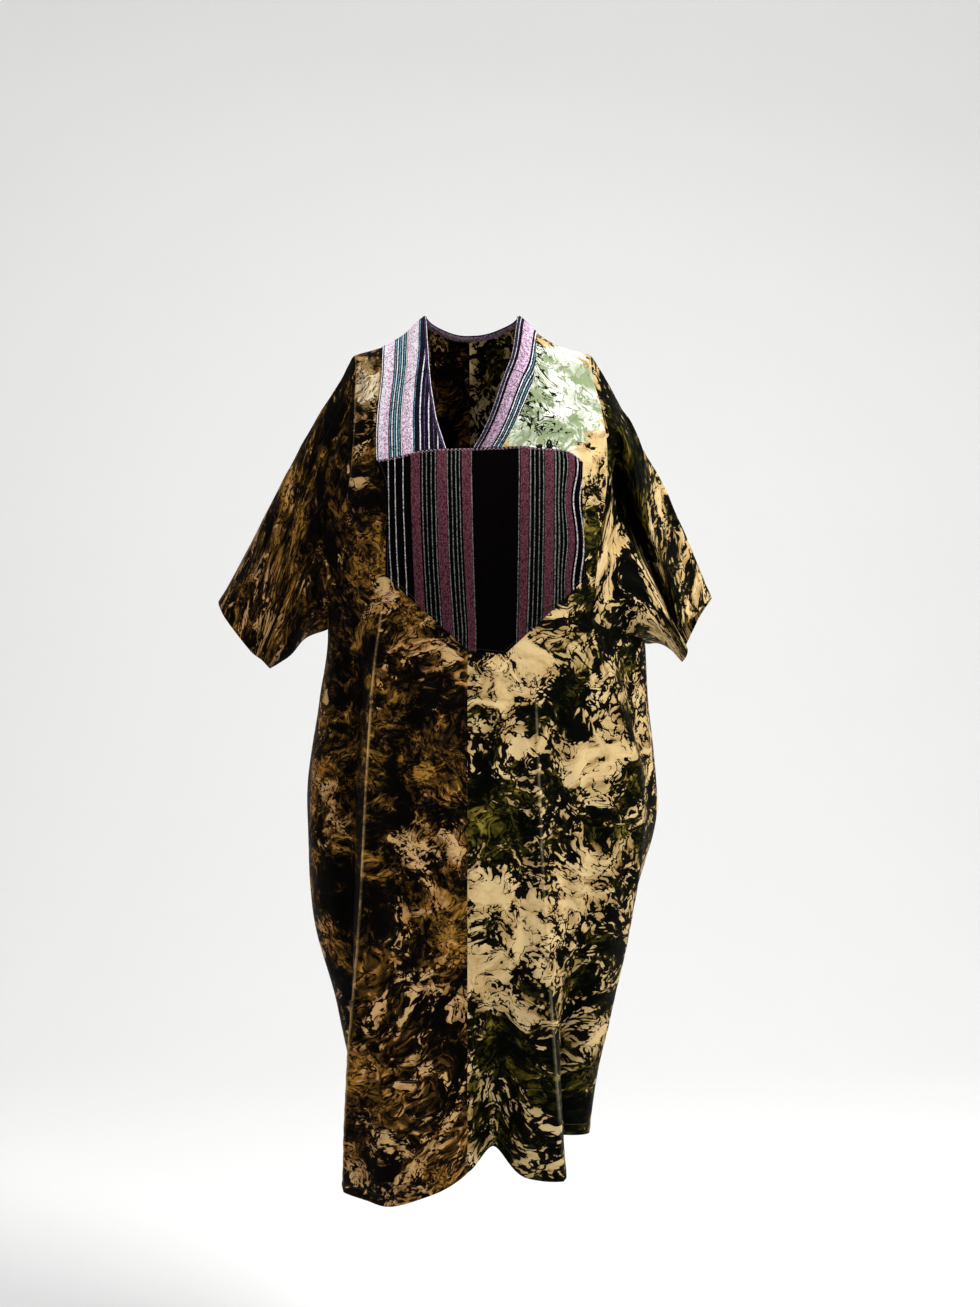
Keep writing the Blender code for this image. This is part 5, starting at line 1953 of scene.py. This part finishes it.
RIGHT_SLEEVE = Sleeve(
    RIGHT,
    (0.62, 0.25),
    table(
        SleeveLine,
        (0.0, (-211, 4, -105), (-271, 2, -216), (-331, 0, -330)),
        (0.17, (-194, -42, -160), (-256, -46, -262), (-317, -40, -353)),
        (0.34, (-197, -76, -256), (-242, -66, -324), (-284, -44, -395)),
        (0.43, (-214, -70, -330), (-244, -50, -366), (-272, -28, -406)),
        (0.5, (-218, -2, -377), (-239, -2, -400), (-265, 0, -417)),
        (0.67, (-202, 56, -285), (-245, 54, -335), (-285, 44, -392)),
        (0.84, (-202, 48, -165), (-262, 48, -262), (-319, 38, -350)),
        plain=(0,),
    ),
    table(
        SleeveCrease,
        (0.06, 0.04, 0.16, 0.42, 5, 3.4), (0.13, 0.02, 0.3, 0.3, 6, -4), (0.24, 0.05, 0.32, 0.55, 7, 4),
        (0.1, 0.5, 0.22, 0.92, 6, 3), (0.36, 0.3, 0.3, 0.9, 6, -3.4), (0.8, 0.05, 0.7, 0.6, 7, 3.6),
        (0.92, 0.1, 0.86, 0.7, 6, -3),
        plain=(0, 1, 2, 3),
    ),
    table(
        Tone,
        (-245, -240, 10, 10, 1.8), (-272, -292, 14, 18, 2.2), (-300, -355, 34, 26, 1.0),
        (-190, -130, 30, 90, -1.7), (-190, -240, 24, 60, -1.0),
        plain=(4,),
    ),
)
LEFT_SLEEVE = Sleeve(
    LEFT,
    (2.35, 1.1),
    table(
        SleeveLine,
        (0.0, (212, 4, -105), (262, 2, -204), (312, -2, -325)),
        (0.09, (197, -48, -122), (220, -70, -214), (272, -62, -362)),
        (0.2, (190, -20, -172), (224, -20, -262), (262, -26, -362)),
        (0.33, (196, -88, -286), (232, -78, -312), (270, -50, -381)),
        (0.42, (214, -100, -352), (246, -72, -364), (279, -32, -396)),
        (0.5, (245, -4, -385), (260, -4, -394), (275, -2, -409)),
        (0.67, (220, 62, -300), (252, 56, -340), (284, 38, -388)),
        (0.84, (203, 50, -170), (250, 50, -262), (300, 32, -352)),
        plain=(0,),
    ),
    table(
        SleeveCrease,
        (0.02, 0.25, 0.05, 0.52, 3.5, 3), (0.01, 0.5, 0.03, 0.92, 3, 3.6), (0.3, 0.06, 0.34, 0.6, 5, 3.6),
        (0.36, 0.1, 0.4, 0.8, 5, -3.2), (0.27, 0.04, 0.3, 0.4, 5, -3.4), (0.8, 0.06, 0.72, 0.62, 7, 3.6),
        (0.91, 0.08, 0.86, 0.66, 6, -3.2),
        plain=(0, 1, 2, 3),
    ),
    table(
        Tone,
        (196, -120, 20, 70, -1.4), (208, -220, 16, 80, -1.5), (240, -160, 30, 40, -0.6),
        (262, -260, 26, 40, 0.4), (290, -340, 30, 40, 0.7), (200, -330, 36, 40, 0.5),
        plain=(4,),
    ),
)


@dataclass
class LaidOn:
    """Cloth that lies on the front or the back, with soft edges.

    lift is how far its underside is over the middle surface of the cloth below.
    """

    form: DressForm
    cut: Cut
    spacing: float = 0.0042
    rings: tuple[float, ...] = (0.0006, 0.0014, 0.0024, 0.0034, 0.005)
    lift: float = 0.0007
    thick: float = 0.001
    rounded: float = 0.0016

    def lay(
        self, name: str, face: Face, edges: Edges, uv_of: Callable[[Array], Array], material: Material
    ) -> tuple[Object, Patch]:
        """Makes a piece.

        Args:
            name: Its name.
            face: Front or back.
            edges: The edges of its cut.
            uv_of: Turns flat places into its UV map.
            material: Its material.

        Returns:
            The object and its middle layer.
        """
        flat, faces = triangulate(edges, self.spacing, self.rings)
        points, normals = self.form.frames(face, flat)
        patch = Patch(
            points, facing(points, faces, (0, face.y_sign, 0)), flat, uv_of(flat),
            np.ones(len(flat)), distance_to(flat, join(*edges.values())), np.zeros(len(flat)),
        )
        thickness = Thickness(self.lift + self.thick, -self.lift, seam_sink=0.0, rounded=self.rounded)
        return thin_shell(name, patch, normals, thickness, material), patch


@dataclass
class ChestPanel(LaidOn):
    """The pointed panel of striped cloth over both fronts.

    bend is how far the strips are shifted at the panel's foot, by place across.
    """

    spacing: float = 0.0045
    bend: tuple[Place, ...] = (
        (-0.1, 0.009), (-0.002, 0.009), (0.035, 0.0), (0.07, -0.005), (0.14, -0.004),
    )
    bend_run: float = 0.25
    wave: float = 0.003
    wave_length: float = 0.11
    wave_from: Place = (0.105, 0.135)

    def stripes_at(self, flat: Array) -> Array:
        """The UV map: the strips bend towards the point, and wave at the left edge.

        Args:
            flat: Flat places.

        Returns:
            Their UV places.
        """
        across, run = flat.T
        down = run - run.min()
        shift = np.interp(across, *np.array(self.bend).T) * np.clip(down / self.bend_run, 0, 1) ** 2
        wave = self.wave * np.sin(math.tau * down / self.wave_length) * step_up(*self.wave_from, across)
        return np.stack([across - shift - wave, run], axis=1)

    def build(self, material: Material) -> tuple[Object, Patch]:
        """The panel's object and its middle layer."""
        return self.lay("chest_panel_cloth", FRONT, self.cut.chest(), self.stripes_at, material)


@dataclass
class Neckband(LaidOn):
    """The striped band round the neck, in three lengths."""

    def front(self, side: Side, material: Material) -> tuple[Object, Patch]:
        """A front length, whose stripes follow its outer edge on the right and the neckline on the left.

        Args:
            side: Right or left.
            material: Its material.

        Returns:
            The object and its middle layer.
        """
        line = self.cut.band_edge(side) if side is RIGHT else self.cut.neckline(side)

        def uv_of(flat: Array) -> Array:
            """U is the distance across the band, and V the run."""
            return np.stack([flat[:, 0] - np.interp(flat[:, 1], line[:, 1], line[:, 0]), flat[:, 1]], axis=1)

        return self.lay(f"neckband_{side.value}_cloth", FRONT, self.cut.band(side), uv_of, material)

    def back(self, material: Material) -> tuple[Object, Patch]:
        """The length round the back, whose stripes follow the neckline.

        Args:
            material: Its material.

        Returns:
            The object and its middle layer.
        """
        inner = self.cut.nape()
        length = lengths_along(inner)[-1]

        def uv_of(flat: Array) -> Array:
            """U is the distance from the neckline, and V the way along it."""
            turn = np.arctan2(flat[:, 1] / self.cut.nape_run, flat[:, 0] / self.cut.neck_side)
            return np.stack([distance_to(flat, inner), -length * (1 - turn / np.pi)], axis=1)

        return self.lay("neckband_back_cloth", BACK, self.cut.band(), uv_of, material)


@dataclass
class NeckBinding:
    """The band's own cloth turned over the raw edge of the neck."""

    form: DressForm
    cut: Cut
    outer_reach: float = 0.0035
    inner_reach: float = 0.007
    seam_allowance: float = 0.0012
    evened: int = 4
    probe: float = 0.004

    def edges(self) -> list[tuple[Face, Array]]:
        """The neck's edges from the foot of the right one round the back to the left one."""
        right, left = (self.cut.neckline(side) for side in Side)
        return [(FRONT, right[::-1]), (BACK, self.cut.nape()), (FRONT, left)]

    def profile(self) -> tuple[Place, ...]:
        """The strip's section, as places into the cloth and over its middle surface.

        Returns:
            The section's corners, in order round it.
        """
        outer, inner = self.outer_reach, self.inner_reach
        return (
            (outer, 0.00185), (outer * 0.5, 0.002), (0.0008, 0.00195), (-0.0006, 0.0014), (-0.0012, 0.0004),
            (-0.0009, -0.0008), (0.0004, -0.0017), (inner * 0.5, -0.0019), (inner, -0.0018),
            (inner, -0.0006), (0.0004, -0.0005), (-0.0002, 0.0003), (0.0004, 0.0012), (outer, 0.0013),
        )

    def build(self, material: Material) -> Object:
        """The binding as one strip that goes round the edge.

        Args:
            material: Its material.

        Returns:
            The object.
        """
        rows = []
        for face, line in self.edges():
            points, normals = self.form.frames(face, line)
            into = unit(np.cross(normals, np.gradient(points, axis=0)))
            rows.append((points, normals, into * self._into_cloth(face, line, points, into)))
        points, normals, into = (np.vstack(values) for values in zip(*rows))
        for values in (normals, into):
            for _ in range(self.evened):
                values[1:-1] = (values[:-2] + 2 * values[1:-1] + values[2:]) / 4
            values /= np.linalg.norm(values, axis=1)[:, None]
        profile = self.profile()
        count, ring = len(points), len(profile)
        net = np.vstack([points + into * a + normals * b for a, b in profile])
        along, around = lengths_along(points), lengths_along(np.array(profile))
        k, i = (at.ravel() for at in np.meshgrid(range(ring), range(count - 1), indexing="ij"))
        after = (k + 1) % ring
        a, b, c, d = k * count + i, k * count + i + 1, after * count + i + 1, after * count + i
        u0, u1 = around[k], np.where(after == 0, around[k] + self.seam_allowance, around[after])
        v0, v1 = along[i], along[i + 1]
        faces = np.stack([a, b, c, a, c, d], axis=1).reshape(-1, 3)
        uv = np.stack([u0, v0, u0, v1, u1, v1, u0, v0, u1, v1, u1, v0], axis=1).reshape(-1, 3, 2)
        for end, order in ((0, 1), (count - 1, -1)):
            fan = (np.arange(ring) * count + end)[::order]
            cap = [(fan[0], *pair) for pair in zip(fan[1:-1], fan[2:])]
            faces, uv = np.vstack([faces, cap]), np.vstack([uv, np.full((len(cap), 3, 2), (0.001, 0.0))])
        turned = facing(net, faces, net[faces[:, 0]])
        if turned[0, 0] != faces[0, 0]:
            uv = uv[:, ::-1]
        return make_mesh("neck_binding", net, turned, uv.reshape(-1, 2), material, sharp=60.0)

    def _into_cloth(self, face: Face, line: Array, points: Array, into: Array) -> int:
        """1 if into points from the edge into the cloth, and -1 if it points out of it.

        Args:
            face: Front or back.
            line: The edge, in flat places.
            points: Its points.
            into: Vectors square to it.

        Returns:
            1 or -1.
        """
        i = len(line) // 2
        inner = line[i] + ((0.0, self.probe) if face is BACK else (self.probe * np.sign(line[i][0]), 0.0))
        at = self.form.points(face, inner[:1], inner[1:])[0]
        return 1 if float(np.dot(at - points[i], into[i])) > 0 else -1


@dataclass
class StitchRow:
    """A row of stitches along a path on the cloth."""

    name: str
    thread: str
    points: Array
    pitch: float = 0.0034
    length: float = 0.0025
    radius: float = 0.00028


@dataclass
class Stitching:
    """Top stitching, made by one Geometry Nodes tree that every row uses."""

    form: DressForm
    cut: Cut
    hem_up: float = 0.0142
    tack_x: float = -0.1015
    tack_heights: tuple[float, ...] = (-0.3225, -0.329, -0.3355)

    def tree(self) -> GeometryNodeTree:
        """The tree: points along a curve, a stitch on each, made real and given its thread.

        Returns:
            The tree.
        """
        tree = bpy.data.node_groups.new("stitch_row", "GeometryNodeTree")
        sockets = (
            ("Geometry", "INPUT", "Geometry"), ("Pitch", "INPUT", "Float"),
            ("Stitch Length", "INPUT", "Float"), ("Thread Radius", "INPUT", "Float"),
            ("Thread", "INPUT", "Material"), ("Geometry", "OUTPUT", "Geometry"),
        )
        for name, way, kind in sockets:
            tree.interface.new_socket(name, in_out=way, socket_type="NodeSocket" + kind)
        kinds = {
            "start": "NodeGroupInput", "end": "NodeGroupOutput", "along": "GeometryNodeCurveToPoints",
            "ball": "GeometryNodeMeshUVSphere", "half": "ShaderNodeMath", "size": "ShaderNodeCombineXYZ",
            "shape": "GeometryNodeTransform", "place": "GeometryNodeInstanceOnPoints",
            "real": "GeometryNodeRealizeInstances", "soft": "GeometryNodeSetShadeSmooth",
            "dressed": "GeometryNodeSetMaterial",
        }
        nodes = {name: tree.nodes.new(kind) for name, kind in kinds.items()}
        nodes["along"].mode, nodes["half"].operation = "LENGTH", "MULTIPLY"
        fixed = (("ball", "Segments", 6), ("ball", "Rings", 5), ("ball", "Radius", 1.0), ("half", 1, 0.5))
        for name, socket, value in fixed:
            nodes[name].inputs[socket].default_value = value
        links = (
            ("start", "Geometry", "along", "Curve"), ("start", "Pitch", "along", "Length"),
            ("start", "Stitch Length", "half", 0), ("start", "Thread Radius", "size", 0),
            ("start", "Thread Radius", "size", 1), ("half", 0, "size", 2),
            ("ball", "Mesh", "shape", "Geometry"), ("size", 0, "shape", "Scale"),
            ("along", "Points", "place", "Points"), ("along", "Rotation", "place", "Rotation"),
            ("shape", "Geometry", "place", "Instance"), ("place", "Instances", "real", "Geometry"),
            ("real", "Geometry", "soft", "Geometry"), ("soft", "Geometry", "dressed", "Geometry"),
            ("start", "Thread", "dressed", "Material"), ("dressed", "Geometry", "end", "Geometry"),
        )
        for source, output, target, socket in links:
            tree.links.new(nodes[source].outputs[output], nodes[target].inputs[socket])
        return tree

    def sew(self, tree: GeometryNodeTree, row: StitchRow, thread: Material) -> Object:
        """Makes one row's stitches as a plain mesh.

        Args:
            tree: The Geometry Nodes tree.
            row: The row's path and sizes.
            thread: The thread's material.

        Returns:
            The stitches as one object.
        """
        curve = bpy.data.curves.new(row.name + "_path", "CURVE")
        curve.dimensions = "3D"
        spline, count = curve.splines.new("POLY"), len(row.points)
        spline.points.add(count - 1)
        places = np.column_stack([row.points, np.ones(count)])
        spline.points.foreach_set("co", places.astype(np.float32).ravel())
        path = add_object(row.name + "_path", curve)
        modifier = path.modifiers.new("stitches", "NODES")
        modifier.node_group = tree
        values = {
            "Pitch": row.pitch, "Stitch Length": row.length, "Thread Radius": row.radius, "Thread": thread,
        }
        for item in tree.interface.items_tree:
            if item.in_out == "INPUT" and item.name in values:
                modifier[item.identifier] = values[item.name]
        graph = bpy.context.evaluated_depsgraph_get()
        mesh = bpy.data.meshes.new_from_object(path.evaluated_get(graph), depsgraph=graph)
        mesh.name = row.name
        bpy.data.objects.remove(path)
        return add_object(row.name, mesh)

    def row(
        self, name: str, thread: str, face: Face, places: Sequence, height: float, *sizes: float
    ) -> StitchRow:
        """A row at a height over the cloth. sizes are its pitch, stitch length and thread radius."""
        points, normals = self.form.frames(face, np.asarray(places, float))
        return StitchRow(name, thread, points + normals * height, *sizes)

    def inset(self, edges: Edges, by: float, *names: str) -> Array:
        """The named edges, moved into the piece.

        Args:
            edges: The piece's edges.
            by: How far they are moved.
            *names: The edges' names.

        Returns:
            Flat places.
        """
        closed = join(*edges.values())
        outline, line = closed[:-1], join(*(edges[name] for name in names))
        moved = line + inward(line, np.gradient(line, axis=0), outline, len(line) // 2) * by
        return moved[inside(moved, outline) & (distance_to(moved, closed) > by * 0.9)]

    def rows(self) -> list[StitchRow]:
        """Every row of the dress.

        Returns:
            The rows.
        """
        chest, cut = self.cut.chest(), self.cut
        sides = self.inset(chest, 0.0032, "left", "left_point", "foot", "right_point", "right")
        upper, lower = (self.inset(chest, by, "top") for by in (0.0016, 0.0031))
        out = [
            self.row("chest_stitching", "dark", FRONT, sides, 0.00155),
            self.row("chest_edge_white", "white", FRONT, upper, 0.00175, 0.0052, 0.0036, 0.00042),
            self.row("chest_edge_rose", "rose", FRONT, lower, 0.0017, 0.0046, 0.0034, 0.0004),
        ]
        for label, face, side in (("right", FRONT, RIGHT), ("left", FRONT, LEFT), ("back", BACK, None)):
            outer, inner = (self.inset(cut.band(side), *at) for at in ((0.003, "outer"), (0.0042, "inner")))
            out.append(self.row(f"neckband_{label}_stitching", "dark", face, outer, 0.0016))
            out.append(self.row(f"neckline_{label}_stitching", "dark", face, inner, 0.0017))
        for face, side in self.form.quarters:
            run, inset = self.form.hem_run(face) - self.hem_up, side.sign * 0.002
            end = self.form.side_place(face, side, self.form.hem_drop)[0]
            line = spaced([(inset, run), (end - inset, run)], 0.003)
            thread = "brown" if side is RIGHT else "olive"
            out.append(self.row(f"hem_{face.value}_{side.value}_stitching", thread, face, line, 0.00085))
        for k, z in enumerate(self.tack_heights, 1):
            across, run = self.form.on_cloth(FRONT, self.tack_x, z)
            line = [(across - 0.0005, run), (across + 0.0005, run)]
            out.append(self.row(f"bar_tack_{k}", "rose", FRONT, line, 0.0009, 0.0078, 0.0078, 0.0007))
        return out


class Lamp(NamedTuple):
    """A soft square light that points at a place."""

    name: str
    place: Point
    aim: Point
    size: float
    power: float
    colour: Point


@dataclass
class Studio:
    """Camera, light and a pale backdrop."""

    distance: float = 2.4
    camera_x: float = 0.0236
    camera_z: float = -0.398
    view_height: float = 1.7122
    sensor: float = 36.0
    floor_z: float = -1.46
    glow: float = 0.52
    lamps: tuple[Lamp, ...] = (
        Lamp("key", (1.7, -1.25, 1.8), (0.0, 0.0, -0.4), 0.8, 96.0, (1.0, 0.985, 0.96)),
        Lamp("fill", (-2.4, -1.6, 0.2), (0.0, 0.0, -0.5), 1.6, 7.0, (0.96, 0.98, 1.0)),
        Lamp("top", (0.4, 0.7, 2.4), (0.0, 0.0, -0.2), 1.2, 40.0, (1.0, 1.0, 1.0)),
    )

    def camera(self) -> None:
        """The camera at the photo's angle, level with the middle of the picture."""
        data = bpy.data.cameras.new("camera")
        data.sensor_width = self.sensor
        data.lens = self.sensor * self.distance / self.view_height
        data.clip_end = 60.0
        camera = add_object("camera", data)
        camera.location = (self.camera_x, -self.distance, self.camera_z)
        camera.rotation_euler = (math.pi / 2, 0.0, 0.0)
        bpy.context.scene.camera = camera

    def backdrop(self) -> Object:
        """A floor that curves up into a wall.

        Returns:
            The backdrop's object.
        """
        radius, back, top, front, half_width = 1.6, 2.2, 7.0, -6.0, 9.0
        bend = [
            (back + radius * math.sin(t), self.floor_z + radius * (1 - math.cos(t)))
            for t in np.linspace(0, math.pi / 2, 17)
        ]
        profile = [(front, self.floor_z), (0.0, self.floor_z), *bend, (back + radius, top)]
        points = [(x, y, z) for x in (-half_width, half_width) for y, z in profile]
        count = len(profile)
        mesh = bpy.data.meshes.new("backdrop")
        mesh.from_pydata(points, [], [(i, count + i, count + i + 1, i + 1) for i in range(count - 1)])
        mesh.materials.append(BackdropFinish().material())
        mesh.shade_smooth()
        return add_object("backdrop", mesh)

    def build(self) -> None:
        """Sets up the whole studio."""
        self.camera()
        self.backdrop()
        for lamp in self.lamps:
            data = bpy.data.lights.new(lamp.name, "AREA")
            data.size, data.energy, data.color = lamp.size, lamp.power, lamp.colour
            obj = add_object(lamp.name, data)
            obj.location = lamp.place
            obj.rotation_euler = (Vector(lamp.aim) - Vector(lamp.place)).to_track_quat("-Z", "Y").to_euler()
        world = bpy.data.worlds.new("studio")
        world.use_nodes = True
        background = world.node_tree.nodes["Background"]
        background.inputs["Color"].default_value = (1.0, 1.0, 1.0, 1.0)
        background.inputs["Strength"].default_value = self.glow
        bpy.context.scene.world = world
        bpy.context.scene.view_settings.view_transform = "Standard"


def solids(face: Face, side: Side) -> list[str]:
    """The names of the solids that one length of cloth is parted into."""
    return [f"{face.value}_{side.value}_{level}" for level in ("yoke", "bodice", "waist", "skirt")]


def report(obj: Object, nodes: Sequence[str] = (), slot: str = "") -> Object:
    """Rides a piece on the dress, hides the solids that it stands for and logs it.

    Args:
        obj: The piece.
        nodes: The solids that it stands for.
        slot: Not used.

    Returns:
        The piece.
    """
    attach(obj, "root")
    if nodes:
        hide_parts(*nodes)
    LOG.info("%s: %d triangles", obj.name, sum(len(p.vertices) - 2 for p in obj.data.polygons))
    return obj


def declare(obj: Object, patch: Patch, rests_on: Sequence[str]) -> None:
    """Works out the size and the area of a piece's flat cut, and does nothing with them."""
    size = np.ptp(patch.flat, axis=0)
    patch.cut_area()


def main() -> None:
    """Builds the dress, piece by piece."""
    logging.basicConfig(level=logging.INFO, format="%(message)s")
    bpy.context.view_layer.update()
    Studio().build()
    form = DressForm()
    cut = Cut(form)
    body = Body(form, cut)
    dyes = {RIGHT: BROWN_ADIRE, LEFT: GREEN_ADIRE}
    cloths = {side: dye.material() for side, dye in dyes.items()}
    halves = [(face, side, body.patch(face, side)) for face, side in form.quarters]
    sleeves = [(sleeve, sleeve.patch(form, cut)) for sleeve in (RIGHT_SLEEVE, LEFT_SLEEVE)]
    normals = share_normals([patch for *_, patch in halves + sleeves])
    for (face, side, patch), own in zip(halves, normals):
        piece = body.build(face, side, patch, own, cloths[side])
        report(piece, solids(face, side), dyes[side].name)
        declare(piece, patch, solids(face.other, side))
    for (sleeve, patch), own in zip(sleeves, normals[len(halves) :]):
        side, piece = sleeve.side, sleeve.build(patch, own, cloths[sleeve.side])
        report(piece, [f"sleeve_{side.value}"], dyes[side].name)
        declare(piece, patch, [part for face in Face for part in solids(face, side)[:2]])
    panel, patch = ChestPanel(form, cut).build(CHEST_STRIPES.material())
    report(panel, ["chest_panel"], "chest_stripe")
    declare(panel, patch, ["front_right_bodice", "front_left_bodice"])
    band = Neckband(form, cut)
    right_stripes, left_stripes = RIGHT_BAND_STRIPES.material(), LEFT_BAND_STRIPES.material()
    bands = (
        ("neckband_right", band.front(RIGHT, right_stripes), "front_right_yoke"),
        ("neckband_left", band.front(LEFT, left_stripes), "front_left_yoke"),
        ("neckband_back", band.back(left_stripes), "back_right_yoke"),
    )
    for node, (piece, patch), under in bands:
        declare(report(piece, [node], "neck_stripe"), patch, [under])
    report(NeckBinding(form, cut).build(left_stripes), slot="neck_stripe")
    threads = {name: ThreadFinish(name, code).material() for name, code in THREADS.items()}
    stitching = Stitching(form, cut)
    tree = stitching.tree()
    for row in stitching.rows():
        report(stitching.sew(tree, row, threads[row.thread]), slot="neck_stripe")


if __name__ == "__main__":
    main()
